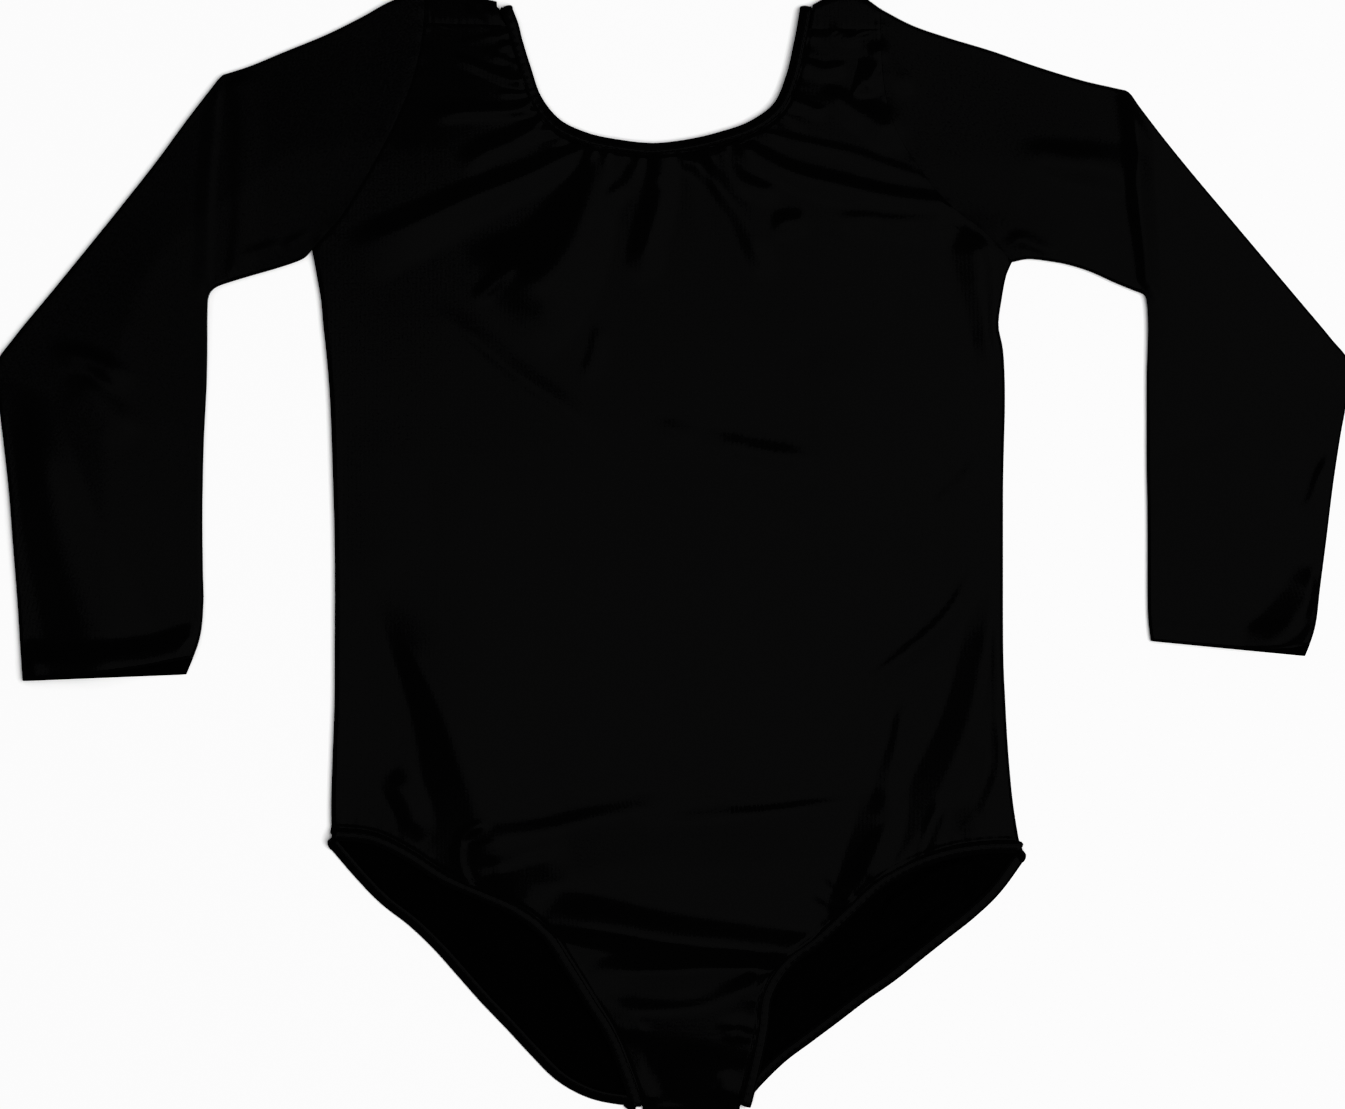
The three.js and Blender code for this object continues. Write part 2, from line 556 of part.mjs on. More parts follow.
// Carries a sheet on round a folded edge and back along the other layer to a seam there. The row holds
// the numbers of its points at the fold, in the order of the outline, and the seam the ends to reach.
function foldOver(sheet, row, seam, farMiddle) {
  let last = row;
  const addRow = (placeOf) => {
    const next = row.map((number, column) => {
      sheet.places.push(placeOf(sheet.places[number], column));
      return sheet.places.length - 1;
    });
    for (let column = 0; column < row.length - 1; column += 1) {
      const [a, b] = [last[column], last[column + 1]];
      sheet.triangles.push([b, a, next[column]], [b, next[column], next[column + 1]]);
    }
    last = next;
  };
  const outward = Math.sign(sheet.places[row[0]].middle.y - seam[0].y);
  for (let step = 1; step <= bendSteps; step += 1) {
    const angle = (Math.PI * step) / bendSteps;
    addRow(({ middle }) => {
      const drop = farMiddle(middle) - middle.z;
      const y = middle.y + (outward * Math.abs(drop) * Math.sin(angle)) / 2;
      const z = middle.z + (drop * (1 - Math.cos(angle))) / 2;
      const normal = new THREE.Vector3(0, -Math.sin(angle), Math.cos(angle));
      return { middle: new THREE.Vector3(middle.x, y, z), normal };
    });
  }
  addRow(({ middle }, column) => ({
    middle: new THREE.Vector3(seam[column].x, seam[column].y, farMiddle(middle)),
    normal: new THREE.Vector3(0, 0, -1),
  }));
}

// Gives a sheet its thickness: an upper and a lower face, and a rim along its open edges
function wallGeometry(sheet) {
  const positions = [];
  const index = [];
  const count = sheet.places.length;
  for (const side of [1, -1]) {
    for (const { middle, normal } of sheet.places) {
      const face = middle.clone().addScaledVector(normal, (side * clothWall) / 2);
      positions.push(face.x, face.y, face.z);
    }
  }
  const rim = new Map();
  for (const [a, b, c] of sheet.triangles) {
    index.push(a, b, c, a + count, c + count, b + count);
    for (const [from, to] of [[a, b], [b, c], [c, a]]) {
      if (!rim.delete(`${to} ${from}`)) rim.set(`${from} ${to}`, [from, to]);
    }
  }
  for (const [from, to] of rim.values()) {
    index.push(from + count, to + count, to, from + count, to, from);
  }
  return solidGeometry(positions, index);
}

function solidGeometry(positions, index) {
  const geometry = new THREE.BufferGeometry();
  geometry.setAttribute("position", new THREE.Float32BufferAttribute(positions, 3));
  geometry.setIndex(index);
  geometry.computeVertexNormals();
  return geometry;
}

// One outline from lines that follow each other, each without its last point, where the next one starts
function joinLines(lines) {
  return lines.flatMap((line) => line.slice(0, -1));
}

// Points of the shoulder fold where the flat layer of the back starts to bend up
function shoulderBend(tops) {
  const bendRadius = (puffedMiddle - backMiddle) / 2;
  return tops.map((row) => new THREE.Vector2(row.x, row.y - bendRadius - clothWall / 2));
}

// The far side of a shoulder or crotch wrap, a straight seam with its gap
function wrapSeam(row, first, last, away) {
  return row.map((point, index) => {
    const share = index / (row.length - 1);
    const target = first.clone().lerp(last, share);
    const trim = (seamGap / 2) * Math.sign(last.x - first.x) * (1 - 2 * share);
    return new THREE.Vector2(target.x + trim, target.y + (away * seamGap) / 2);
  });
}

// The front neckline, with a point on each gather and one between each two
function neckLine() {
  const crests = Array.from({ length: gatherCount }, (_, number) => gatherShare(number));
  const valleys = crests.slice(1).map((share, index) => (share + crests[index]) / 2);
  return [0, ...crests, ...valleys, 1]
    .sort((one, other) => one - other)
    .map((share) => asPoint(neckCurve.getPointAt(share)));
}

const crotchBendRadius = (puffedMiddle - backMiddle) / 2;
const crotchBend = crotchLow + crotchBendRadius + clothWall / 2;
const crotchRow = (first, last, y) => Array.from({ length: 6 }, (_, index) =>
  new THREE.Vector2(THREE.MathUtils.lerp(first.x, last.x, index / 5), y));

// Gather line of a leg on the front, from the hip to the crotch fold, and on the back, to the crotch seam
function legFrontLine(rows) {
  const atFold = { x: rows.at(-1).x, y: crotchBend };
  return smoothLine([...rows.slice(0, -1), atFold], outlineStep);
}


const legBackLine = (rows) => smoothLine(rows, outlineStep);

function frontPanel() {
  const crotchLine = crotchRow(legFrontLeft.at(-1), legFrontRight.at(-1), crotchBend);
  const outline = drawnIn(joinLines([
    neckLine().reverse(),
    [neckFront[0], armholeLeft[1]].map(asPoint),
    armholeLeft.slice(1).map(asPoint),
    smoothLine(sideLeft, sideStep),
    legFrontLine(legFrontLeft),
    crotchLine,
    legFrontLine(legFrontRight).reverse(),
    smoothLine(sideRight, sideStep).reverse(),
    armholeRight.slice(1).map(asPoint).reverse(),
    [armholeRight[1], neckFront.at(-1)].map(asPoint),
  ]));
  const wished = [
    ...gathers.flatMap(foldPoints),
    ...panelFolds.flatMap(foldPoints),
    ...fieldPoints(outline),
  ];
  const sheet = flatSheet(outline, wished, (point, onRim) => ({
    middle: new THREE.Vector3(point.x, point.y, liftAt(point)),
    normal: onRim ? new THREE.Vector3(0, 0, 1) : liftNormal(point),
  }));
  const start = outline.findIndex((point) => Math.abs(point.y - crotchBend - seamGap / 2) < 0.2);
  const row = crotchLine.map((_, index) => start + index);
  const seam = wrapSeam(
    row.map((number) => outline[number]),
    new THREE.Vector2(crotchLine[0].x, crotchLow + crotchWrap),
    new THREE.Vector2(crotchLine.at(-1).x, crotchLow + crotchWrap),
    -1,
  );
  foldOver(sheet, row, seam, () => backMiddle);
  return wallGeometry(sheet);
}

function backPanel() {
  const bendLeft = shoulderBend(shoulderTopLeft);
  const bendRight = shoulderBend(shoulderTopRight);
  const withBends = [bendLeft.at(-1), ...neckBack.slice(1, -1), bendRight.at(-1)];
  const neck = smoothLine(withBends, outlineStep);
  const crotchSeam = crotchRow(legBackLeft.at(-1), legBackRight.at(-1), crotchLow + crotchWrap);
  const sideLeftBack = [...sideLeft.slice(0, -1), legBackLeft[0]];
  const sideRightBack = [...sideRight.slice(0, -1), legBackRight[0]];
  const outline = drawnIn(joinLines([
    neck.reverse(),
    [...bendLeft].reverse(),
    [bendLeft[0], ...armholeLeft.slice(1).map(asPoint)],
    smoothLine(sideLeftBack, sideStep),
    legBackLine(legBackLeft),
    crotchSeam,
    legBackLine(legBackRight).reverse(),
    smoothLine(sideRightBack, sideStep).reverse(),
    [...armholeRight.slice(1).map(asPoint).reverse(), bendRight[0]],
    bendRight,
  ]));
  const sheet = flatSheet(outline, fieldPoints(outline), (point) => ({
    middle: new THREE.Vector3(point.x, point.y, backMiddle),
    normal: new THREE.Vector3(0, 0, 1),
  }));
  const shoulders = [
    { bend: bendLeft.toReversed(), from: neckFront[0], to: armholeLeft[1] },
    { bend: bendRight, from: armholeRight[1], to: neckFront.at(-1) },
  ];
  for (const { bend, from, to } of shoulders) {
    const nearest = outline
      .map((point, number) => ({ number, distance: point.distanceTo(bend[0]) }))
      .sort((one, other) => one.distance - other.distance)[0];
    const row = bend.map((_, index) => (nearest.number + index) % outline.length);
    const seam = wrapSeam(row.map((number) => outline[number]), asPoint(from), asPoint(to), 1);
    foldOver(sheet, row, seam, () => puffedMiddle);
  }
  return wallGeometry(sheet);
}

// A flattened tube of cloth through rings. Each ring runs over the top layer from the outer edge to the
// inner one, round the inner edge, back along the flat underside and round the outer edge.
function sleeve(armhole, rows, outward) {
  const topCount = armhole.length;
  const edgeAngles = [Math.PI / 4, Math.PI / 2, (3 * Math.PI) / 4];
  const shifted = movedLine(armhole.map(asPoint), (outward * seamGap) / 2);
  const straight = rows.map((row) => {
    const outer = new THREE.Vector2(row.outerX, row.outerY);
    const inner = new THREE.Vector2(row.innerX, row.innerY);
    return Array.from({ length: topCount }, (_, index) =>
      outer.clone().lerp(inner, index / (topCount - 1)));
  });
  const bowed = straight.map((line, row) => {
    const share = Math.max(0, 1 - (row + 1) / 4) ** 1.5;
    return line.map((point, index) => {
      const chord = shifted[0].clone().lerp(shifted.at(-1), index / (topCount - 1));
      return point.clone().addScaledVector(shifted[index].clone().sub(chord), share);
    });
  });
  const rings = [shifted, ...bowed].map((line) => ringAcross(line, edgeAngles));
  return tubeGeometry(rings, outward);
}

function ringAcross(line, edgeAngles) {
  const pulledIn = (edge, next) => {
    const inward = next.clone().sub(edge).normalize();
    const lift = liftAt(edge.clone().addScaledVector(inward, clothWall));
    const radius = (lift - backMiddle) / 2;
    const point = edge.clone().addScaledVector(inward, radius + clothWall / 2);
    return { point, radius, outward: inward.negate(), lift };
  };
  const outer = pulledIn(line[0], line[1]);
  const inner = pulledIn(line.at(-1), line.at(-2));
  const top = [outer.point, ...line.slice(1, -1), inner.point];
  const ring = top.map((point, index) => {
    const lift = index === 0 ? outer.lift : index === top.length - 1 ? inner.lift : liftAt(point);
    return { middle: new THREE.Vector3(point.x, point.y, lift), normal: new THREE.Vector3(0, 0, 1) };
  });
  const roundEdge = (edge, angles) => {
    for (const angle of angles) {
      const across = edge.outward.clone().multiplyScalar(Math.sin(angle));
      const normal = new THREE.Vector3(across.x, across.y, Math.cos(angle));
      const centre = new THREE.Vector3(edge.point.x, edge.point.y, backMiddle + edge.radius);
      ring.push({ middle: centre.addScaledVector(normal, edge.radius), normal });
    }
  };
  roundEdge(inner, edgeAngles);
  for (let index = top.length - 1; index >= 0; index -= 1) {
    const middle = new THREE.Vector3(top[index].x, top[index].y, backMiddle);
    ring.push({ middle, normal: new THREE.Vector3(0, 0, -1) });
  }
  roundEdge(outer, edgeAngles.toReversed());
  return ring;
}

// Joins rings of equal count into a tube with a wall, open at both ends
function tubeGeometry(rings, outward) {
  const positions = [];
  const index = [];
  const around = rings[0].length;
  const layer = rings.length * around;
  for (const side of [1, -1]) {
    for (const { middle, normal } of rings.flat()) {
      const face = middle.clone().addScaledVector(normal, (side * clothWall) / 2);
      positions.push(face.x, face.y, face.z);
    }
  }
  const quad = (a, b, c, d) => {
    if (outward < 0) index.push(a, b, c, a, c, d);
    else index.push(a, c, b, a, d, c);
  };
  for (let row = 0; row < rings.length - 1; row += 1) {
    for (let column = 0; column < around; column += 1) {
      const next = (column + 1) % around;
      const [a, b] = [row * around + column, row * around + next];
      const [c, d] = [b + around, a + around];
      quad(a, d, c, b);
      quad(a + layer, b + layer, c + layer, d + layer);
    }
  }
  const lastRow = (rings.length - 1) * around;
  for (let column = 0; column < around; column += 1) {
    const next = (column + 1) % around;
    quad(column, next, next + layer, column + layer);
    quad(lastRow + next, lastRow + column, lastRow + column + layer, lastRow + next + layer);
  }
  return solidGeometry(positions, index);
}

// Part of a line on one side of a limit, with its new end on the limit
function cutLine(line, keeps, measure, limit) {
  const kept = [];
  line.forEach((point, index) => {
    const before = line[index - 1];
    if (before && keeps(before) !== keeps(point)) {
      const share = (limit - measure(before)) / (measure(point) - measure(before));
      kept.push(before.clone().lerp(point, share));
    }
    if (keeps(point)) kept.push(point);
  });
  return kept;
}

// A flat band of casing carried round a closed path. Each place on the path has the way across the band.
function bandGeometry(path) {
  const section = [
    { across: 1, up: 0 },
    { across: 0.75, up: 1 },
    { across: -0.75, up: 1 },
    { across: -1, up: 0 },
    { across: -0.75, up: -1 },
    { across: 0.75, up: -1 },
  ];
  const positions = [];
  const index = [];
  path.forEach(({ point, across }, number) => {
    const before = path.at(number - 1).point;
    const after = path[(number + 1) % path.length].point;
    const along = after.clone().sub(before).normalize();
    const side = across.clone().addScaledVector(along, -across.dot(along)).normalize();
    const up = along.clone().cross(side);
    for (const corner of section) {
      const place = point.clone().addScaledVector(side, (corner.across * casingWidth) / 2);
      place.addScaledVector(up, (corner.up * casingThickness) / 2);
      positions.push(place.x, place.y, place.z);
    }
  });
  const corners = section.length;
  for (let number = 0; number < path.length; number += 1) {
    const here = number * corners;
    const ahead = ((number + 1) % path.length) * corners;
    for (let corner = 0; corner < corners; corner += 1) {
      const next = (corner + 1) % corners;
      index.push(here + corner, ahead + next, ahead + corner);
      index.push(here + corner, here + next, ahead + next);
    }
  }
  return solidGeometry(positions, index);
}

// A casing's closed path: along the front strand, round one fold, back along the other strand and round
// the other fold. The cloth lies to the left of both lines where its side is 1.
function casingPath(front, back, outwardAtEnd, outwardAtStart, clothSide) {
  const strand = (line, height) => line.map((point, index) => {
    const before = line[Math.max(index - 1, 0)];
    const after = line[Math.min(index + 1, line.length - 1)];
    const along = after.clone().sub(before).normalize();
    const across = new THREE.Vector3(-along.y * clothSide, along.x * clothSide, 0);
    return { point: new THREE.Vector3(point.x, point.y, height), across };
  });
  const turn = (from, to, outward) => [1, 2, 3].map((step) => {
    const angle = (Math.PI * step) / 4;
    const share = (1 - Math.cos(angle)) / 2;
    const reach = (Math.abs(to.point.z - from.point.z) / 2) * Math.sin(angle);
    return {
      point: from.point.clone().lerp(to.point, share).addScaledVector(outward, reach),
      across: from.across.clone().lerp(to.across, share),
    };
  });
  const upper = strand(front, puffedMiddle);
  const lower = strand(back, casingLow).reverse();
  return [
    ...upper,
    ...turn(upper.at(-1), lower[0], outwardAtEnd),
    ...lower,
    ...turn(lower.at(-1), upper[0], outwardAtStart),
  ];
}

const turnRoom = (puffedMiddle - casingLow) / 2 + casingThickness / 2;

function neckCasing() {
  const step = 6;
  const frontRows = [shoulderTopLeft.at(-1), ...neckFront, shoulderTopRight.at(-1)];
  const front = movedLine(smoothLine(frontRows.toReversed(), step), -casingOffset);
  const back = movedLine(smoothLine(neckBack.toReversed(), step), -casingOffset);
  const highest = Math.min(shoulderTopLeft.at(-1).y, shoulderTopRight.at(-1).y) - turnRoom;
  const cut = (line) => cutLine(line, (point) => point.y <= highest, (point) => point.y, highest);
  const upward = new THREE.Vector3(0, 1, 0);
  return bandGeometry(casingPath(cut(front), cut(back), upward, upward, 1));
}

// The cloth lies on the left of the left leg's lines as they run from hip to crotch, which makes side 1,
// and on the right of the right leg's, which makes it -1. Strands stop short to leave room to turn.
function legCasing(frontRows, backRows, hipEdge, crotchEndX, side) {
  const lowest = crotchLow + turnRoom + seamGap * 6;
  const hipLimit = hipEdge + side * turnRoom;
  const pastHip = (point) => point.x * side >= hipLimit * side;
  const beforeCrotch = (point) => point.x * side <= crotchEndX * side;
  const keepHip = (line) => cutLine(line, pastHip, (point) => point.x, hipLimit);
  const front = keepHip(movedLine(legFrontLine(frontRows), -side * casingOffset));
  const back = keepHip(movedLine(legBackLine(backRows), -side * casingOffset));
  const frontCut = cutLine(front, (point) => point.y >= lowest, (point) => point.y, lowest);
  const backCut = cutLine(back, beforeCrotch, (point) => point.x, crotchEndX);
  const downward = new THREE.Vector3(0, -1, 0);
  const sideways = new THREE.Vector3(-side, 0, 0);
  return bandGeometry(casingPath(frontCut, backCut, downward, sideways, side));
}

const clothLook = { color: 0x0b0b0d, roughness: 0.42, metalness: 0 };

const group = new THREE.Group();

function addPiece(name, geometry) {
  const mesh = new THREE.Mesh(geometry, new THREE.MeshStandardMaterial(clothLook));
  mesh.name = name;
  group.add(mesh);
}

addPiece("front_panel", frontPanel());
addPiece("back_panel", backPanel());
addPiece("sleeve_left", sleeve(armholeLeft, sleeveLeftRows, -1));
addPiece("sleeve_right", sleeve(armholeRight, sleeveRightRows, 1));
addPiece("neck_casing", neckCasing());
addPiece("leg_casing_left", legCasing(legFrontLeft, legBackLeft, hipEdgeLeft, crotchEndLeft, 1));
addPiece("leg_casing_right", legCasing(legFrontRight, legBackRight, hipEdgeRight, crotchEndRight, -1));

// The origin lies under the middle of the garment
const box = new THREE.Box3().setFromObject(group);
group.position.set(-(box.min.x + box.max.x) / 2, -(box.min.y + box.max.y) / 2, -box.min.z);

export default group;
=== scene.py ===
import bpy
import numpy as np
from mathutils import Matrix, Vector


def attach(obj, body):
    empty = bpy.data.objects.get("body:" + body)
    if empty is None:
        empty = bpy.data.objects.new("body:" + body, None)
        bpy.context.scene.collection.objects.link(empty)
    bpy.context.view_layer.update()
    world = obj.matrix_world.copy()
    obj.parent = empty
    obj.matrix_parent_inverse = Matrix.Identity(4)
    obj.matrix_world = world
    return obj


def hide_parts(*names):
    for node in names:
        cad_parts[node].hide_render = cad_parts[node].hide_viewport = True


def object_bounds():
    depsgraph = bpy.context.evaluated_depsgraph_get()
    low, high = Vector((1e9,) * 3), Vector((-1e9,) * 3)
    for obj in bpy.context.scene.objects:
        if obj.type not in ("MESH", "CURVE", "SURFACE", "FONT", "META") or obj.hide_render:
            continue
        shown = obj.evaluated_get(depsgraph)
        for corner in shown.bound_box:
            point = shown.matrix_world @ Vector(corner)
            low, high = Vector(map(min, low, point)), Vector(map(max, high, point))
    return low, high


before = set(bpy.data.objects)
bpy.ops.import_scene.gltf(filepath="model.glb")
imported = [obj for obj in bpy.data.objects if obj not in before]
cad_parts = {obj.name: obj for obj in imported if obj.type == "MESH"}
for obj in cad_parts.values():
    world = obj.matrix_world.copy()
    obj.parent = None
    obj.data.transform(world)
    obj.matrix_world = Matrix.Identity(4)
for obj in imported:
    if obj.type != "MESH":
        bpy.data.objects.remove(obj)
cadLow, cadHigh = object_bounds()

mm = 0.001
tableTop = 236.0                                  # top of the left shoulder fold in the tables below
shiftY = cadHigh.y / mm - tableTop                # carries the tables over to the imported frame
rng = np.random.default_rng(11)

# How the cloth lies: heights of its face above the table, the same as on the solids
cloth = {
    "thickness": 0.7,
    "frontFlat": 2.7,                             # face of the upper layer along its folded edges
    "air": 1.4,                                   # how much higher it stands away from them
    "slack": 0.45,                                # how much that varies
    "leastAir": -1.3,                             # how far a trough may sink below the flat face
    "airReach": 80.0,                             # over which the air under it grows from a folded edge
    "creaseReach": 6.0,                           # over which its creases grow from there
    "rollReach": 1.7,                             # a folded edge turns down over this distance
    "edgeHeight": 1.3,                            # where the two layers meet at a side
    "seamDip": 0.11,                              # how deep a seam draws the face in
    "seamReach": 1.3,
    "pucker": 0.1,                                # small waves beside a seam
    "puckerReach": 3.0,
    "stitchDip": 0.5,                             # the dip along the stitched line of a casing
    "stitchReach": 1.6,
    "turnedIn": 0.8,                              # seam allowance turned down behind each seam
    "underRise": 0.6,                             # highest crease of the underside
    "seatRise": 2.2,                              # highest ridge of the seat's inner face
}
foldReach = (cloth["frontFlat"] + cloth["air"]) / 2    # how far the cloth bulges out where it is folded
nextShare = 0.1                                   # place of an extra row beside an edge, on to the next

# Side edges, and the lines that seams and casings follow, read off the garment
bodyLeft = [(-149.3, 116), (-147.6, 106), (-146.6, 95), (-145.4, 84), (-143.8, 64), (-142.6, 32),
            (-141.8, 0), (-141.8, -41), (-141.9, -62), (-142.6, -83), (-143.3, -104)]
bodyRight = [(140.1, 116), (138.2, 106), (136.9, 95), (138.9, 84), (139.6, 64), (138.9, 32), (138.8, 0),
             (138.9, -41), (139.7, -62), (140.9, -83), (142.8, -104)]
armholeLeft = [(-104, 236), (-104.5, 222), (-106, 211), (-109, 199), (-113.5, 187), (-118.5, 176),
               (-125, 164), (-132, 152), (-139.5, 140.5), (-145.5, 133.5), (-151.4, 127.3)]
armholeRight = [(87, 228.5), (87.3, 219.5), (87.6, 210), (88.5, 198), (91, 185), (95.5, 174), (102, 163.5),
                (110, 152.5), (119, 143.5), (130, 135.5), (142.6, 121.8)]
shoulderLeft = [(-104, 236), (-98, 236), (-92, 235.8), (-86, 235), (-80, 232.6), (-74, 230.8)]
shoulderRight = [(59.1, 229.5), (64.5, 233), (70, 235), (76, 235.2), (81.5, 232.5), (87, 228.5)]
neckFront = [(-70, 221), (-68.2, 214), (-64.7, 202.6), (-59.7, 188.7), (-50.4, 177.4), (-37.2, 171),
             (-22.7, 167.9), (-8, 166.5), (6.6, 168), (21, 171.3), (34.9, 176.3), (46.6, 185.1),
             (52.7, 198.5), (56.1, 212.9), (57.4, 219.5)]
neckBack = [(-74, 230.8), (-70, 217), (-66.5, 203), (-62.5, 188), (-55, 173), (-44, 163.5), (-28, 157.5),
            (-8, 155.5), (12, 157.5), (31, 164), (45.5, 174.5), (53.5, 188), (56.5, 203), (58, 216),
            (59.1, 229.5)]
legFrontLeft = [(-143.2, -115.6), (-125.5, -117.5), (-110, -124.7), (-95.5, -134), (-80, -141),
                (-64.5, -148), (-51, -158.5), (-41.5, -172.5), (-32.5, -187), (-23.5, -201.5),
                (-17, -217.5), (-11.5, -233.5)]
legFrontRight = [(145.4, -121), (130.5, -121.3), (114, -124), (98.3, -129.6), (84, -138), (71.6, -149.4),
                 (59.3, -160.7), (46, -171), (37.2, -185), (34.8, -201.5), (31.3, -217.8), (27.3, -233.5)]
legBackLeft = [(-143.2, -117.4), (-129.7, -133.2), (-119.3, -143.9), (-107.4, -153.2), (-96.6, -163.5),
               (-86.6, -174.7), (-76.7, -185.9), (-66.3, -196.7), (-56.1, -207.7), (-45.7, -218),
               (-34, -224.5), (-22, -227.2), (-11.5, -227.6)]
legBackRight = [(145.6, -123.4), (134.2, -139.1), (123.9, -149.2), (112.7, -158.1), (101.5, -167),
                (90.2, -176), (78.4, -184.2), (67, -192.9), (55.5, -201.5), (44, -210.1), (33.7, -220.1),
                (27.3, -227.6)]

# Sections across each sleeve, outer edge then inner edge, from the armhole to the cuff
sleeveRowsLeft = [
    (-117.8, 231.8, -154.3, 123.9), (-130.8, 224.7, -158.6, 121.8), (-145.5, 217.4, -166.5, 119.2),
    (-163, 210.2, -175.5, 116.6), (-177, 204.4, -184.6, 113.9), (-186.4, 201.3, -191.2, 111.6),
    (-189.6, 200, -194, 109.5), (-194.6, 193.9, -195.3, 105.6), (-204.5, 181, -195.5, 97.6),
    (-217, 164, -195.5, 88.4), (-230.5, 146.8, -195.6, 78.6), (-246, 127.6, -195.9, 68.6),
    (-262, 108, -196.4, 58.8), (-276.5, 90.4, -196.9, 49.2), (-284.6, 78, -197.2, 40.4),
    (-283.4, 64, -197.4, 30.8), (-281.2, 46, -197.6, 19.6), (-279, 26, -197.6, 6.6),
    (-277.2, 3, -197.4, -8), (-275.4, -20, -197.2, -22), (-274.2, -39, -198.8, -36.5),
    (-273.2, -54.2, -204.3, -51.4),
]
sleeveRowsRight = [
    (100.6, 221.4, 149.3, 123.1), (115.5, 216.2, 156.9, 122.4), (134, 210.6, 166, 120.8),
    (153, 204, 175.6, 117.8), (172, 198.2, 185.4, 113.4), (186.6, 194.8, 193.6, 110),
    (191.8, 193.2, 198.2, 108), (196.4, 187, 199.4, 103.6), (206.5, 173.8, 199.8, 96.2),
    (219, 158.4, 199.7, 87.2), (233, 141.8, 199.4, 78), (248, 124, 199.3, 68.4), (263, 106.2, 199.3, 58.6),
    (276.6, 90, 199.3, 49.2), (284.6, 79, 199.3, 40.4), (283.4, 64, 199.4, 30.8), (280.6, 48, 199.6, 20),
    (277.6, 28, 199.7, 8), (274.9, 6, 199.7, -5), (272.2, -15, 199.7, -17.6), (270.2, -31, 200, -28.6),
    (266.1, -43.7, 201, -37.4),
]

# Folds and creases, listed one by one. Each row is the crest of one fold through a start, a middle and an end
# (x0 y0 x1 y1 x2 y2), how far its flank reaches on the left of that line at its start and end and on the
# right at its start and end, its rise where it is widest (less than zero for a trough), how round its crest
# is (0 sharp to 1 round), and which ends keep their height (1 the start, 2 the end, 3 both, 0 neither).
neckFolds = [
    (-86, 231, -81, 223, -71, 212.5, 3, 3, 3, 3.2, 0.38, 0.3, 2),
    (-79, 229, -76, 226, -73, 223, 2.5, 2.5, 3, 3, 0.36, 0.4, 0),
    (-76, 209.6, -72, 207, -66, 205.5, 3, 2, 3, 2.5, 0.34, 0.3, 2),
    (-92, 209.6, -79, 202.4, -64, 198, 3, 3, 3, 4.5, 0.6, 0.3, 2),
    (-74, 192.6, -68, 192.2, -61, 192, 2.5, 2, 2, 2, 0.3, 0.3, 2),
    (-103.5, 182, -85, 184.4, -56, 185.6, 5, 4, 3, 4, 0.62, 0.3, 2),
    (-48, 178, -68, 172.4, -90, 159.6, 4.5, 5.5, 5, 8, 0.85, 0.2, 1),
    (-39, 169, -80.8, 150.8, -137.5, 127, 8, 20, 4, 8, 2.1, 0.2, 1),
    (-30, 166, -45, 126, -74, 97.5, 9, 31, 8, 37, 4.1, 0.2, 1),
    (-85, 105.8, -73.7, 114.2, -64, 124.3, 3, 3, 5, 4, 0.85, 0.3, 0),
    (-19, 166, -18.7, 156.2, -30.4, 146.6, 5, 5, 3, 4, 0.65, 0.3, 1),
    (-9.4, 165, -7.3, 159.6, -5.2, 153.7, 4, 4, 3.5, 3, 0.6, 0.3, 1),
    (-2, 166, -8, 137.3, -15, 112, 7, 9, 9, 8, 1.5, 0.2, 1),
    (7.5, 164.5, 25.2, 146.5, 41, 113, 5, 8, 6, 7, 1.75, 0.2, 1),
    (19.9, 167, 32.5, 154, 47.2, 152, 4, 4, 6, 7, 0.7, 0.3, 1),
    (33, 169, 64, 155.4, 110.2, 147, 4, 6, 8, 12, 1.35, 0.2, 3),
    (39, 176, 71.2, 168.8, 106, 157.1, 1.6, 2.4, 6, 8, 0.5, 0.2, 3),
    (61.9, 194.9, 76, 186, 89, 178.5, 3, 11, 6, 11, 1.6, 0.2, 2),
    (47, 190, 56.9, 186.9, 65.7, 184.8, 2.4, 2.4, 5, 5, 0.5, 0.3, 1),
    (65.7, 142.4, 83, 139.9, 112, 137.6, 2.6, 5.5, 7, 10, 1.0, 0.2, 2),
    (40.9, 137.8, 49.4, 138.6, 56.9, 140.7, 5, 5, 7, 7, 0.9, 0.3, 0),
    (76, 197.5, 79.5, 196.8, 82.5, 198.2, 9.5, 10, 7, 7, 1.5, 0.2, 2),
    (56, 205, 64, 203, 74, 204, 3, 3, 6, 6, 0.5, 0.4, 1),
    (87.5, 210, 95.5, 199.1, 101.4, 193.2, 4, 4, 6, 6, 0.9, 0.3, 1),
    (66, 222, 71, 217, 80, 216, 3, 3, 5, 5, 0.4, 0.4, 0),
]
chestFolds = [
    (-101, 103.7, -64, 73.1, -25.4, 44.9, 9, 8, 3.5, 2.4, 0.75, 0.2, 0),
    (-29.6, 97.4, -33.8, 84, -38, 70.1, 8, 8, 2.4, 2, 0.4, 0.3, 0),
    (12, 48, 37.6, 43.7, 65, 37.5, 2.8, 2.8, 10, 10, 0.9, 0.2, 0),
    (-8, 54, 2, 52, 12, 49, 2.2, 2.2, 8, 8, 0.5, 0.2, 0),
    (127.5, 126, 131, 99.5, 134, 73, 8, 5, 12, 5, 2.3, 0.2, 1),
    (129.2, 38.6, 118.6, 28.1, 108.1, 16.8, 8, 8, 2.2, 2.2, 0.45, 0.3, 0),
    (128.3, -1.7, 111.5, -29.4, 74.5, -58.8, 8, 9, 3, 2.2, 0.75, 0.2, 0),
    (-118, 60, -122, 20, -116, -20, 22, 22, 18, 18, 0.35, 0.6, 0),
    (60, 90, 78, 60, 82, 20, 24, 24, 24, 24, 0.4, 0.6, 0),
]
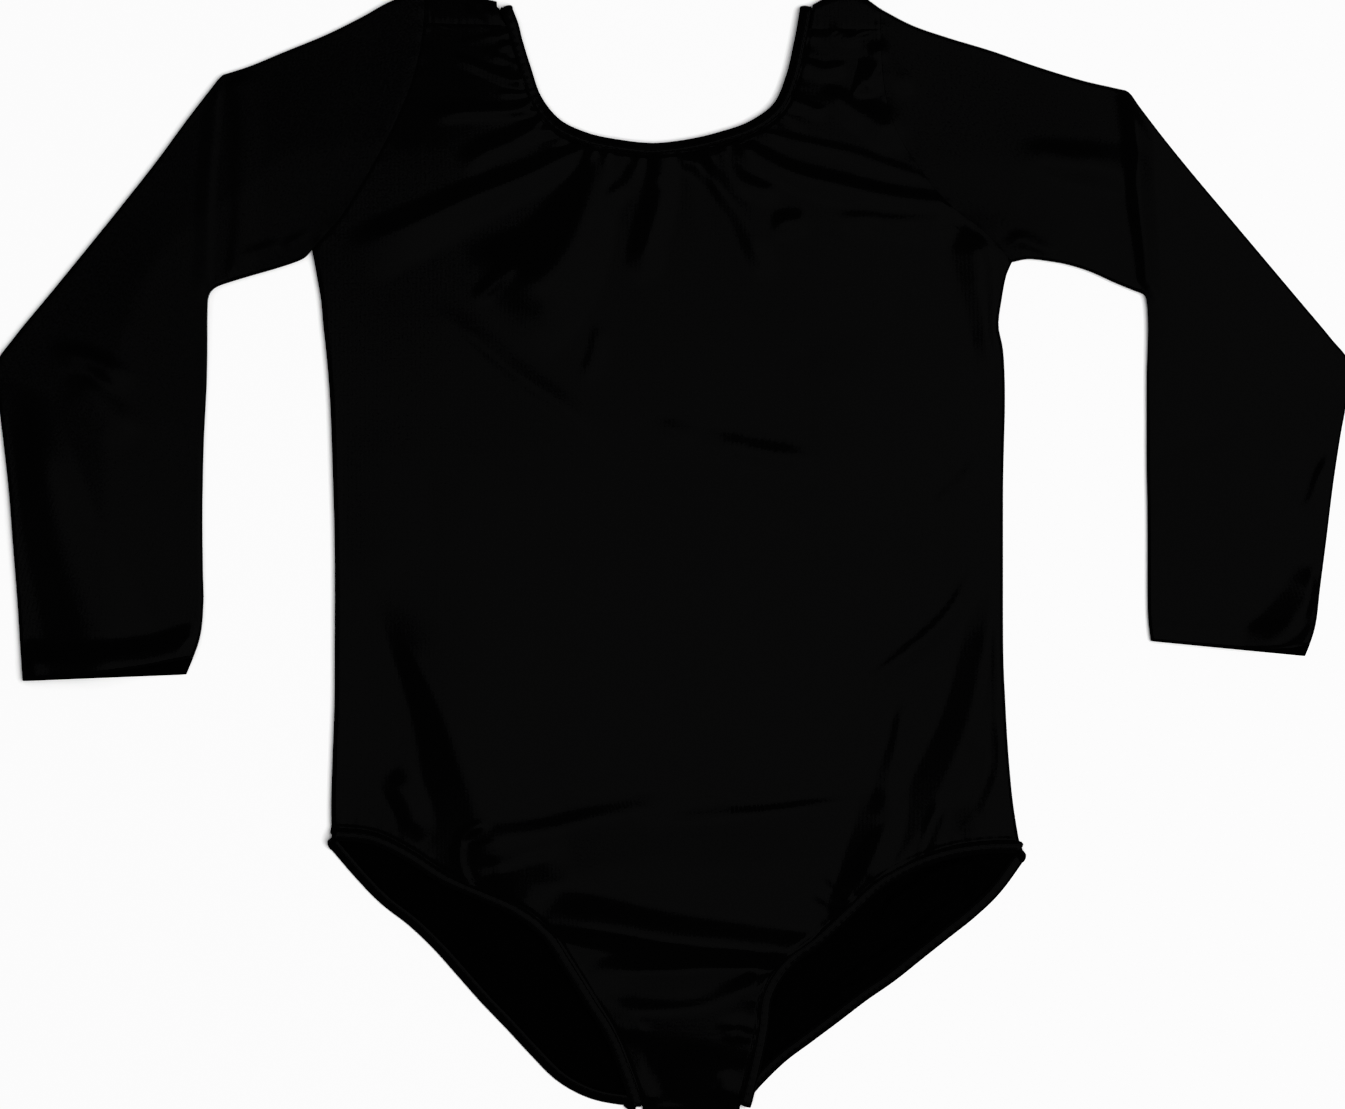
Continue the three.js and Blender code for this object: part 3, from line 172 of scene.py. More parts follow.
hipFolds = [
    (-123.5, -15, -97, -66, -76, -126, 14, 34, 4, 27, 3.7, 0.15, 2),
    (-118.5, -90, -111, -104, -106, -123, 9, 9, 9, 8, 1.4, 0.3, 0),
    (-74, -113, -89, -122, -84.5, -142, 2.5, 3.5, 3, 3, 1.0, 0.4, 2),
    (-73, -120.5, -34.6, -112.6, 6, -101, 8, 3, 22, 24, 1.3, 0.2, 1),
    (-80, -136.5, -61.1, -131, -43, -125, 4, 2.4, 14, 14, 0.8, 0.2, 1),
    (-20, -114.5, 36.8, -108.4, 86, -104, 2.2, 2.8, 22, 24, 0.9, 0.2, 0),
    (135, -8, 123, -79, 95, -135, 5, 18, 9, 21, 4.0, 0.2, 2),
    (134.5, -64, 130.5, -93, 119, -121, 6, 7, 8, 9, 2.2, 0.3, 0),
    (112.3, -103, 108.1, -115.1, 104, -128, 5, 5, 3, 3, 0.65, 0.3, 2),
    (98, -58, 93.5, -86, 89, -114, 8, 9, 3, 9, 1.4, 0.2, 0),
    (92, -98, 86.5, -121, 75.5, -148, 8, 10, 15, 11, 2.9, 0.3, 2),
    (62, -134, 68, -139, 74, -146, 6, 6, 2.2, 2.2, 0.5, 0.3, 2),
    (58, -142, 64, -146, 71, -150, 6, 6, 2.2, 2.2, 0.45, 0.3, 2),
]
crotchFolds = [
    (-71, -152, -12, -162, 56, -169.5, 18, 11, 6, 8, 3.4, 0.4, 2),
    (-40, -176.5, -10, -175.5, 41, -173, 6, 5, 15, 8, -1.6, 0.1, 2),
    (-34, -189, 2, -193, 34, -181.5, 6, 6, 30, 20, 1.5, 0.15, 2),
    (20, -198.6, 27, -197.8, 34, -199.5, 2.4, 2.4, 3.5, 3.5, 0.6, 0.3, 2),
    (21.5, -203.3, 27.5, -202.9, 33.5, -204.1, 2.4, 2.4, 3, 3, 0.6, 0.3, 2),
    (-24, -201.2, -16.2, -200.8, -9, -201.2, 3, 3, 3, 3, 0.5, 0.3, 0),
    (-30, -239, 4, -239, 34, -239, 40, 32, 3, 3, -3.6, 0.05, 3),
    (-28, -228, -15, -229, -4, -227, 25, 22, 4, 4, 2.2, 0.3, 0),
    (17, -226, 25, -227.5, 33, -227, 10, 10, 4, 4, 1.3, 0.3, 0),
    (-54, -160, -40, -181.9, -29.6, -201, 8, 5, 2.5, 2.5, 0.6, 0.3, 0),
]
sleeveFolds = [
    (-191, 199, -193.4, 168.8, -196.3, 111, 3, 3, 6, 6, 0.55, 0.2, 3),
    (-183, 196, -181, 160, -184, 116, 10, 9, 5, 5, 0.4, 0.3, 3),
    (-262.3, 84, -244.6, 80.6, -226, 70, 5, 6, 8, 8, 0.9, 0.3, 0),
    (-253, 75.6, -240.4, 64.7, -226, 47, 3, 9, 16, 14, 0.8, 0.3, 0),
    (-271, 70, -257, 8, -238, -55, 8, 30, 9, 24, 2.3, 0.2, 2),
    (-268, -48, -234.1, -48, -202, -41, 12, 12, 16, 16, 1.5, 0.3, 3),
    (-164, 126, -158, 131, -152, 133, 3, 3, 3, 3, 0.4, 0.3, 0),
    (-182, 123, -172, 127, -163, 128, 3, 3, 3, 3, 0.4, 0.3, 0),
    (193.4, 193.2, 195.9, 152, 199.3, 109.2, 9, 7, 8, 4, 2.4, 0.2, 3),
    (142.6, 167, 162.8, 165.5, 190, 160, 6, 12, 8, 12, 1.3, 0.3, 2),
    (140.5, 126, 147, 130.6, 160, 123, 5, 5, 4, 4, 0.9, 0.3, 0),
    (276.5, 43, 271, 29, 264.5, 14, 9, 9, 3.2, 3.2, 0.95, 0.3, 0),
    (273, -5, 267, -21.4, 253, -38.5, 9, 10, 13, 15, 2.9, 0.2, 2),
    (273, -25.2, 265.6, -32.8, 254, -40.3, 4, 4, 4, 4, 0.8, 0.3, 0),
]
seatFolds = [
    (86, -158, 97.6, -143.2, 119, -131.5, 3, 3, 6, 10, 2.4, 0.2, 2),
    (61, -187, 89.2, -169.3, 122, -144, 3, 3, 4, 5, 2.2, 0.2, 0),
    (123.5, -128, 125.4, -136.9, 125, -146, 3, 3, 3, 3, 1.5, 0.3, 0),
    (-112, -152, -100, -162, -92, -176, 3, 3, 3, 3, 0.9, 0.3, 0),
    (-84, -160, -70, -174, -58, -192, 8, 8, 6, 6, 0.9, 0.4, 0),
    (-60, -205, -46, -208, -34, -206, 4, 4, 4, 4, 0.8, 0.3, 0),
]
# The same kind of creases on the underside, low enough for it to rest on the table
backFolds = [
    (-60, 140, -84, 118, -110, 108, 7, 8, 6, 9, 0.5, 0.3, 0),
    (-22, 150, -30, 120, -48, 92, 6, 9, 5, 8, 0.5, 0.3, 0),
    (28, 150, 38, 118, 60, 96, 6, 8, 5, 9, 0.5, 0.3, 0),
    (52, 168, 78, 150, 104, 142, 5, 8, 4, 7, 0.5, 0.3, 0),
    (-120, 40, -70, 22, -10, 30, 8, 8, 5, 5, 0.4, 0.3, 0),
    (125, 10, 80, -14, 20, -10, 8, 8, 5, 5, 0.45, 0.3, 0),
    (-118, -30, -96, -78, -74, -128, 9, 14, 4, 10, 0.6, 0.2, 0),
    (122, -34, 98, -84, 66, -132, 8, 12, 4, 9, 0.6, 0.2, 0),
    (-52, -96, 0, -88, 56, -98, 5, 5, 8, 8, 0.5, 0.3, 0),
    (-40, -150, 4, -156, 44, -150, 4, 4, 8, 8, 0.5, 0.3, 0),
    (-30, -186, 4, -190, 34, -184, 4, 4, 7, 7, 0.5, 0.3, 0),
    (-240, 100, -225, 60, -232, 10, 8, 10, 5, 8, 0.5, 0.3, 0),
    (236, 96, 226, 58, 240, 4, 8, 10, 5, 8, 0.5, 0.3, 0),
    (-150, 200, -162, 170, -158, 140, 8, 8, 5, 6, 0.5, 0.3, 0),
    (142, 198, 160, 170, 156, 140, 8, 8, 5, 6, 0.5, 0.3, 0),
]


# A step from 0 to 1 between two values with flat ends: t squared times (3 - 2t)
def smoothStep(value, low, high):
    t = np.clip((value - low) / (high - low), 0, 1)
    return t * t * (3 - 2 * t)


# Lengths from a line's start to each of its points
def lengthsAlong(line):
    return np.r_[0, np.cumsum(np.linalg.norm(np.diff(line, axis=0), axis=1))]


# Vectors brought to length 1
def unit(vectors):
    return vectors / np.linalg.norm(vectors, axis=-1, keepdims=True)


# Places at shares of a line's length, 0 at its start and 1 at its end
def placesOn(line, shares):
    line = np.asarray(line, float)
    length = lengthsAlong(line)
    return np.column_stack([np.interp(shares * length[-1], length, column) for column in line.T])


# A smooth line through points (a Catmull-Rom curve, each stretch a cubic of its four nearest points)
def smoothLine(points, finer=12):
    p = np.asarray(points, float)
    p = np.vstack([2 * p[0] - p[1], p, 2 * p[-1] - p[-2]])
    t = np.linspace(0, len(p) - 3, finer * (len(p) - 3) + 1)
    i = np.minimum(t.astype(int), len(p) - 4)
    f = (t - i)[:, None]
    a, b, c, d = p[i], p[i + 1], p[i + 2], p[i + 3]
    return 0.5 * (2 * b + (c - a) * f + (2 * a - 5 * b + 4 * c - d) * f**2 + (3 * b - a - 3 * c + d) * f**3)


# Directions along a line, from the place before each point to the place after it
def directions(line):
    return unit(np.gradient(line, axis=0))


# The line moved sideways, to its left as it runs
def movedLine(line, distance):
    ahead = directions(line)
    return line + distance * np.column_stack([-ahead[:, 1], ahead[:, 0]])


# For each point of the plane its distance to a line (more than zero on the line's left), and the share of
# the line's length that lies nearest
def nearestOn(points, line):
    start, span = line[:-1], np.diff(line, axis=0)
    lengths = np.linalg.norm(span, axis=1)
    reach = points[:, None] - start
    share = np.clip((reach * span).sum(2) / lengths**2, 0, 1)
    away = np.linalg.norm(reach - share[..., None] * span, axis=2)
    best = away.argmin(axis=1)
    rows = np.arange(len(points))
    nearest = reach[rows, best]
    leftward = span[best, 0] * nearest[:, 1] - span[best, 1] * nearest[:, 0]
    before = lengthsAlong(line)
    along = before[best] + share[rows, best] * lengths[best]
    return np.where(leftward < 0, -1, 1) * away[rows, best], along / before[-1]


# Height of a flank at s, 0 at its foot and 1 at its crest: its slope grows over the foot, holds, and eases
# over the crest, so that most of the flank is one even plane
def flankHeight(s, foot, crest):
    steepest = 1 / (1 - (foot + crest) / 2)
    rising = steepest * s**2 / (2 * foot)
    easing = 1 - steepest * (1 - s) ** 2 / (2 * crest)
    return np.where(s < foot, rising, np.where(s > 1 - crest, easing, steepest * (s - foot / 2)))


# What all the folds share
foldForm = {
    "samples": 17,           # places along the crest line
    "waver": 0.05,           # how far the crest line wavers, as a share of its flank's reach
    "waverAtMost": 9,        # the reach past which it wavers no further
    "waverTurns": 11,        # radians of waver along the crest
    "uneven": 0.12,          # how much the rise changes along the crest
    "unevenTurns": 7,        # radians of that change
    "fade": 0.3,             # share of the length over which a closed end dies away
    "foot": 0.15,            # share of a flank that is its rounded foot
    "risePower": 0.8,        # how the rise follows the fold's width
}


# Swell of one fold: a crest line that wavers a little, a flank on each side of its own reach, which changes
# from the start to the end, a rise that grows with the fold's width, and a fade at each end that isn't open
def foldSwell(points, fold):
    x0, y0, x1, y1, x2, y2, leftStart, leftEnd, rightStart, rightEnd, rise, crest, openEnds = fold
    f = foldForm
    start, middle, end = np.array([x0, y0]), np.array([x1, y1]), np.array([x2, y2])
    t = np.linspace(0, 1, f["samples"])[:, None]
    bend = 2 * middle - (start + end) / 2
    line = (1 - t) ** 2 * start + 2 * t * (1 - t) * bend + t**2 * end
    widest = max(leftStart, leftEnd, rightStart, rightEnd)
    wave = np.sin(f["waverTurns"] * t + x0) * np.sin(np.pi * t)
    line = line + f["waver"] * min(widest, f["waverAtMost"]) * wave * (movedLine(line, 1.0) - line)
    near = np.all((points > line.min(0) - widest) & (points < line.max(0) + widest), axis=1)
    swell = np.zeros(len(points))
    if near.any():
        away, share = nearestOn(points[near], line)
        leftReach = leftStart + (leftEnd - leftStart) * share
        rightReach = rightStart + (rightEnd - rightStart) * share
        s = 1 - np.abs(away) / np.where(away > 0, leftReach, rightReach)
        fadeIn = 1 if openEnds % 2 else smoothStep(share, 0, f["fade"])
        fadeOut = 1 if openEnds >= 2 else smoothStep(1 - share, 0, f["fade"])
        uneven = 1 + f["uneven"] * np.sin(f["unevenTurns"] * share + y0)
        wideness = (leftReach + rightReach) / max(leftStart + rightStart, leftEnd + rightEnd)
        profile = flankHeight(np.clip(s, 0, 1), f["foot"], crest)
        swell[near] = rise * wideness ** f["risePower"] * profile * fadeIn * fadeOut * uneven
    return swell


# Gathers along each stitched line: rows of ridges, with how many there are, their rise and their length
gathers = {
    "neck": [(37, 0.3, 4), (22, 0.7, 9), (10, 0.4, 20)],
    "leg": [(41, 0.25, 3.5), (17, 0.4, 6)],
    "reach": 60.0,           # beyond which there are none
    "drift": (0.6, 0.25),    # slow and quick change in their spacing, as shares of it
    "roundness": 1.4,        # more than 1 makes the ridges narrower than the hollows
    "middle": 0.4,           # height that counts as the flat face
    "uneven": 0.45,          # how much their length varies along the line
    "atEnds": 0.35,          # their rise at the line's ends, as a share of that at its middle
}


# Gathers along a stitched line: a few rows of rounded ridges at uneven spacing, fullest along the line's
# middle, each row dying away over its own length, which itself varies along the line
def gatherSwell(points, line, rows):
    away, share = nearestOn(points, line)
    slowDrift, quickDrift = gathers["drift"]
    fullest = gathers["atEnds"] + (1 - gathers["atEnds"]) * np.sin(np.pi * share)
    swell = np.zeros(len(points))
    for number, (count, height, length) in enumerate(rows):
        drift = slowDrift * np.sin(9.7 * share + number) + quickDrift * np.sin(31 * share)
        wave = 0.5 + 0.5 * np.cos(2 * np.pi * (count * share + drift))
        ridge = wave ** gathers["roundness"] - gathers["middle"]
        fade = length * (1 + gathers["uneven"] * np.sin(23 * share + 2 * number) * np.sin(7.1 * share + 1))
        swell += height * fullest * ridge * np.exp(-((np.abs(away) / fade) ** 1.5))
    return swell


# Broad slack in the cloth: a sum of long sine waves in seeded directions
slackWaves = [(rng.uniform(0, np.pi), rng.uniform(45, 110), rng.uniform(0, 2 * np.pi)) for _ in range(9)]


# Slack at each point: the mean of those waves
def slack(points):
    total = np.zeros(len(points))
    for turn, length, phase in slackWaves:
        along = points @ np.array([np.cos(turn), np.sin(turn)])
        total += np.sin(2 * np.pi * along / length + phase)
    return total / len(slackWaves)


sideLeft = smoothLine([armholeLeft[-1], *bodyLeft, legFrontLeft[0]])
sideRight = smoothLine([armholeRight[-1], *bodyRight, legFrontRight[0]])
neckLine = smoothLine(neckFront)
armholeLines = [smoothLine(armholeLeft), smoothLine(armholeRight)]
shoulderSeams = [np.array([neckFront[0], armholeLeft[1]], float),
                 np.array([neckFront[-1], armholeRight[1]], float)]
foldedEdges = []
for rows, side in ((sleeveRowsLeft, sideLeft), (sleeveRowsRight, sideRight)):
    rows = np.array(rows, float)
    foldedEdges.append(rows[2:, :2])             # the sleeve's outer edge, then its inner one and the side
    foldedEdges.append(np.vstack([rows[::-1, 2:], side[:-8:4]]))
gatheredLines = [(neckLine, "neck"), (smoothLine(legFrontLeft), "leg"), (smoothLine(legFrontRight), "leg")]
topFolds = neckFolds + chestFolds + hipFolds + crotchFolds + sleeveFolds


# Height of the upper layer's face: flat along folded edges, higher by the air under it further in, plus
# folds, gathers and slack, less a soft dip along each seam
def faceHeight(points):
    inward = np.min([np.abs(nearestOn(points, edge)[0]) for edge in foldedEdges], axis=0)
    creases = np.sum([foldSwell(points, fold) for fold in topFolds], axis=0)
    reach = gathers["reach"]
    for line, kind in gatheredLines:
        near = np.all((points > line.min(0) - reach) & (points < line.max(0) + reach), axis=1)
        creases[near] += gatherSwell(points[near], line, gathers[kind])
    air = smoothStep(inward, 0, cloth["airReach"]) * (cloth["air"] + cloth["slack"] * slack(points))
    swell = air + smoothStep(inward, 0, cloth["creaseReach"]) * creases
    height = cloth["frontFlat"] + np.maximum(swell, cloth["leastAir"])
    for seam in [*armholeLines, *shoulderSeams]:
        away, share = nearestOn(points, seam)
        groove = np.clip(1 - np.abs(away) / cloth["seamReach"], 0, 1) ** 2
        waves = np.sin(95 * share + 2 * np.sin(17 * share)) * np.exp(-((away / cloth["puckerReach"]) ** 2))
        height += cloth["pucker"] * waves - cloth["seamDip"] * groove
    for line, _ in gatheredLines:
        away, _ = nearestOn(points, line)
        height -= cloth["stitchDip"] * np.clip(1 - np.abs(away) / cloth["stitchReach"], 0, 1) ** 2
    return height


# Height of a face that lies on something: the sum of its folds, between 0 and the most it may rise
def lyingHeight(points, folds, atMost):
    return np.clip(np.sum([foldSwell(points, fold) for fold in folds], axis=0), 0, atMost)


# Height of the underside's face: flat on the table, but for low creases
def underHeight(points):
    return lyingHeight(points, backFolds, cloth["underRise"])


# A surface between four lines (a Coons patch): the two ways across, each straight between its pair of lines,
# added, less the surface that is straight between the four corners
def patch(top, bottom, left, right, u, v):
    u, v = u[:, None], v[:, None, None]
    across = (1 - v) * placesOn(top, u[:, 0]) + v * placesOn(bottom, u[:, 0])
    down = (1 - u) * placesOn(left, v[:, 0, 0])[:, None] + u * placesOn(right, v[:, 0, 0])[:, None]
    straightTop = (1 - u) * top[0] + u * top[-1]
    straightBottom = (1 - u) * bottom[0] + u * bottom[-1]
    return across + down - (1 - v) * straightTop - v * straightBottom


# Shares from 0 to 1, closer together near both ends: s less a part of sin(2 pi s)
def closerAtEnds(count, amount):
    s = np.linspace(0, 1, count)
    return s - amount * np.sin(2 * np.pi * s) / (2 * np.pi)


# Moves the nearest inner share onto each wanted one, so that a corner of the outline falls on a grid line
def withCorners(shares, corners):
    shares = shares.copy()
    found = [int(np.abs(shares - corner).argmin()) for corner in corners]
    shares[found] = corners
    return shares, found


# An extra row just beside an edge: the edge's points, moved a share of the way to the next row's
def beside(edge, following):
    return edge * (1 - nextShare) + following * nextShare


# A table of points with a column added beside each side edge, so that the cloth turns down within a thin
# line, and the turned-down allowance as one more column
def withTurnedSides(points, drop):
    inner = beside(points[:, [0, -1]], points[:, [1, -2]])
    turned = points[:, [0, -1]] + np.array([0, 0, drop])
    left = [turned[:, :1], points[:, :1], inner[:, :1]]
    right = [inner[:, 1:], points[:, -1:], turned[:, 1:]]
    return np.concatenate([*left, points[:, 1:-1], *right], axis=1)


# Height of a face that turns down to a folded edge: a quarter circle over its reach, from the edge's height
def turnedDown(height, away):
    t = np.clip(away / cloth["rollReach"], 0, 1)
    return cloth["edgeHeight"] + (height - cloth["edgeHeight"]) * np.sqrt(1 - (1 - t) ** 2)


# The same for the front and back, whose folded edges are the two sides of the body
def turnedAtSides(height, plane):
    away = [np.abs(nearestOn(plane, side)[0]) for side in (sideLeft, sideRight)]
    return turnedDown(height, np.minimum(*away))


# Rows of cloth folded over an edge: half an ellipse, out along y and from one height to the other
def foldRows(edge, outward, startHeight, endHeight, steps):
    angles = np.linspace(0, np.pi, steps)[1:, None]
    height = (startHeight + endHeight) / 2 + (startHeight - endHeight) / 2 * np.cos(angles)
    x = np.broadcast_to(edge[:, 0], height.shape)
    return np.dstack([x, edge[:, 1] + outward * np.sin(angles), height])


# Numbers of a table's points, row by row from a first one
def numbered(points, first=0):
    rows, columns = points.shape[:2]
    return first + np.arange(rows * columns).reshape(rows, columns)


# Four-cornered faces over a table of point numbers, wound so that a table with rows running down and columns
# running right faces up
def tableQuads(numbers):
    corners = [numbers[:-1, :-1], numbers[1:, :-1], numbers[1:, 1:], numbers[:-1, 1:]]
    return np.stack([corner.ravel() for corner in corners], axis=1)


# Four-cornered faces of a tube given as rings of points; an endless one joins its last ring to its first
def tubeQuads(rings, endless=True):
    return tableQuads(np.pad(numbered(rings), ((0, int(endless)), (0, 1)), mode="wrap"))


# Normals at points: the sum of the cross products of the diagonals of the faces that meet there
def pointNormals(points, quads):
    a, b, c, d = (points[quads[:, corner]] for corner in range(4))
    faceNormals = np.cross(c - a, d - b)
    normals = np.zeros_like(points)
    for corner in range(4):
        np.add.at(normals, quads[:, corner], faceNormals)
    return normals / np.maximum(np.linalg.norm(normals, axis=1, keepdims=True), 1e-9)


# A closed thin shell: the face, the same surface moved in by the thickness along its normals, and a rim that
# joins the edges which only one face has
def shellFaces(points, quads, thickness):
    inner = points - thickness * pointNormals(points, quads)
    edges = np.vstack([quads[:, [corner, (corner + 1) % 4]] for corner in range(4)])
    ordered = np.sort(edges, axis=1)
    keys = ordered[:, 0] * len(points) + ordered[:, 1]
    _, first, times = np.unique(keys, return_index=True, return_counts=True)
    inner[:, 2] = np.maximum(inner[:, 2], 0)
    rim = edges[first[times == 1]]
    count = len(points)
    rimQuads = np.column_stack([rim[:, 1], rim[:, 0], rim[:, 0] + count, rim[:, 1] + count])
    return np.vstack([points, inner]), np.vstack([quads, quads[:, ::-1] + count, rimQuads])


# Puts points and faces into a mesh object in metres, with a UV map that follows the cloth's grain
def addPiece(name, points, quads, grain, materials, faceMaterials=None):
    place = points * mm
    place[:, 1] += shiftY * mm
    mesh = bpy.data.meshes.new(name)
    mesh.from_pydata(place.tolist(), [], quads.tolist())
    layer = mesh.uv_layers.new(name="grain")
    layer.data.foreach_set("uv", (grain * mm)[quads.ravel()].astype(np.float32).ravel())
    for material in materials:
        mesh.materials.append(material)
    if faceMaterials is not None:
        mesh.polygons.foreach_set("material_index", faceMaterials.astype(np.int32))
    mesh.polygons.foreach_set("use_smooth", np.ones(len(quads), bool))
    mesh.update()
    piece = bpy.data.objects.new(name, mesh)
    bpy.context.scene.collection.objects.link(piece)
    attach(piece, "root")
    return piece


# A sewn piece of cloth as a closed shell, its outer face in one material and its wrong side in another
def addCloth(name, points, quads, grain, thickness=cloth["thickness"]):
    shellPoints, shellQuads = shellFaces(points, quads, thickness)
    sides = np.zeros(len(shellQuads), int)
    sides[len(quads):2 * len(quads)] = 1
    materials = [tricotFace, tricotInside]
    return addPiece(name, shellPoints, shellQuads, np.vstack([grain, grain]), materials, sides)


# sRGB hex to linear colour with alpha
def linear(hexColour):
    srgb = np.array([int(hexColour[i:i + 2], 16) / 255 for i in (1, 3, 5)])
    values = np.where(srgb <= 0.04045, srgb / 12.92, ((srgb + 0.055) / 1.055) ** 2.4)
    return (*values, 1.0)


# Adds a node with its settings, and its inputs as values or as links from other sockets
def addNode(tree, kind, inputs=None, **settings):
    node = tree.nodes.new(kind)
    for key, value in settings.items():
        setattr(node, key, value)
    for key, value in (inputs or {}).items():
        if isinstance(value, bpy.types.NodeSocket):
            tree.links.new(value, node.inputs[key])
        else:
            node.inputs[key].default_value = value
    return node


# An empty node material and its tree
def newMaterial(name):
    material = bpy.data.materials.new(name)
    material.use_nodes = True
    material.node_tree.nodes.clear()
    return material, material.node_tree


# Warp-knit nylon and elastane tricot. The face shows fine upright ribs of loops, the wales, and the filament
# gives it a satin shine that is a little uneven: partly real, through patches of roughness, and partly
# painted into the base colour as a mottle of painted sheen and shade. The wales stand 0.55 mm apart, as in a
# fine swimwear knit.
tricot = {
    "colours": ("#020203", "#1d1d1e"),       # painted shade and painted sheen: darkest and lightest specks of the base colour's mottle
    # the wrong side's weaker mottle of painted shade and painted sheen
    "insideColours": ("#030303", "#101010"),
    "waleSpacing": 0.55 * mm,
    "courseSpacing": 0.5 * mm,               # from one row of loops to the next
    "loopDepth": 0.03 * mm,
    "courseDepth": 0.35,                     # of a row of loops, as a share of a wale's
    "drift": (60.0, 3.0),                    # waver of the wales every 17 mm, and its radians
    "fuzz": (900.0, 1.6),                    # broken filaments 1.1 mm apart, and their depth, as that share
    "sheenMottling": 1300.0,                      # painted sheen and shade: lighter and darker specks of base colour, 0.8 mm apart
    "cloudiness": 22.0,                      # more and less glossy patches, 45 mm apart
    "glossSpread": (-0.015, 0.02),           # and how their roughness differs
    "bump": 0.35,
    "roughness": 0.13,
    "insideRoughness": 0.6,
    "shine": 0.16,
    "insideShine": 0.04,
    "sheen": (0.06, 0.4),                    # the fuzz seen edge on: its weight and roughness
}


# Height of the knit: a sine across the grain for the wales, which drifts, plus a share of a sine along it for
# the rows of loops, plus noise for the fuzz. Noise also mottles the base colour with painted sheen and shade,
# and clouds the gloss.
def tricotMaterial(name, colours, roughness, shine):
    material, tree = newMaterial(name)
    grain = addNode(tree, "ShaderNodeUVMap", uv_map="grain").outputs["UV"]
    parts = addNode(tree, "ShaderNodeSeparateXYZ", {0: grain})
    noises = ((tricot["drift"][0], 2.0), (tricot["fuzz"][0], 3.0), (tricot["sheenMottling"], 2.0),
              (tricot["cloudiness"], 3.0))
    drift, fuzz, sheenMottle, cloudy = (
        addNode(tree, "ShaderNodeTexNoise",
                {"Vector": grain, "Scale": scale, "Detail": detail}).outputs["Fac"]
        for scale, detail in noises)
    waleTurns, courseTurns = (
        addNode(tree, "ShaderNodeMath", {0: parts.outputs[axis], 1: 2 * np.pi / tricot[spacing]},
                operation="MULTIPLY").outputs[0]
        for axis, spacing in (("X", "waleSpacing"), ("Y", "courseSpacing")))
    drifted = addNode(tree, "ShaderNodeMath", {0: drift, 1: tricot["drift"][1], 2: waleTurns},
                      operation="MULTIPLY_ADD").outputs[0]
    wale, course = (addNode(tree, "ShaderNodeMath", {0: turns}, operation="SINE").outputs[0]
                    for turns in (drifted, courseTurns))
    knit = wale
    for part, share in ((course, tricot["courseDepth"]), (fuzz, tricot["fuzz"][1])):
        knit = addNode(tree, "ShaderNodeMath", {0: part, 1: share, 2: knit},
                       operation="MULTIPLY_ADD").outputs[0]
    bump = addNode(tree, "ShaderNodeBump",
                   {"Height": knit, "Strength": tricot["bump"], "Distance": tricot["loopDepth"]})
    # the base colour runs by noise from painted shade to painted sheen, standing in for the satin's uneven
    # shine
    paintedShade, paintedSheen = (linear(colour)[:3] for colour in colours)
    glossiest, dullest = (roughness + change for change in tricot["glossSpread"])
    ranges = [(cloudy, glossiest, dullest), *((sheenMottle, low, high) for low, high in zip(paintedShade, paintedSheen))]
    gloss, *paintedSheenShades = (
        addNode(tree, "ShaderNodeMapRange", {"Value": value, "From Min": 0.3, "From Max": 0.7,
                                             "To Min": low, "To Max": high}).outputs["Result"]
        for value, low, high in ranges)
    colour = addNode(tree, "ShaderNodeCombineColor", dict(enumerate(paintedSheenShades)))
    shader = addNode(tree, "ShaderNodeBsdfPrincipled",
                     {"Base Color": colour.outputs["Color"], "Roughness": gloss, "Specular IOR Level": shine,
                      "IOR": 1.53, "Sheen Weight": tricot["sheen"][0], "Sheen Roughness": tricot["sheen"][1],
                      "Normal": bump.outputs["Normal"]})
    addNode(tree, "ShaderNodeOutputMaterial", {"Surface": shader.outputs["BSDF"]})
    return material


# Spun polyester sewing thread: its plies show as a fine twist, and its matt fibres give little shine
def threadMaterial(name, colour):
    material, tree = newMaterial(name)
    grain = addNode(tree, "ShaderNodeUVMap", uv_map="grain")
    twist = addNode(tree, "ShaderNodeTexWave", {"Vector": grain.outputs["UV"], "Scale": 700.0},
                    bands_direction="DIAGONAL")                     # about a millimetre for each twist
    bump = addNode(tree, "ShaderNodeBump",
                   {"Height": twist.outputs["Fac"], "Strength": 0.4, "Distance": 0.05 * mm})
    shader = addNode(tree, "ShaderNodeBsdfPrincipled",
                     {"Base Color": linear(colour), "Roughness": 0.5, "Specular IOR Level": 0.12, "IOR": 1.55,
                      "Normal": bump.outputs["Normal"]})
    addNode(tree, "ShaderNodeOutputMaterial", {"Surface": shader.outputs["BSDF"]})
    return material


tricotFace = tricotMaterial("nylonTricotFace", tricot["colours"], tricot["roughness"], tricot["shine"])
tricotInside = tricotMaterial("nylonTricotInside", tricot["insideColours"], tricot["insideRoughness"],
                              tricot["insideShine"])
thread = threadMaterial("polyesterThread", "#0a0a0b")
print("materials ready")

# The front, cut in one from the shoulder seams to the crotch seam, gathered into the neck and leg casings
frontPanel = {
    "columns": 248,
    "rows": 188,
    "closer": (0.4, 0.5),     # how much closer the columns and rows stand at the edges
    "tuck": 0.9,              # how far its gathered edges run into the casings
    "crotchFold": -235.45,
    "crotchSeam": -227.75,    # on the underside
    "foldSteps": 7,
    "flatCut": (0.33, 0.50),
    "cutArea": 0.114,
}


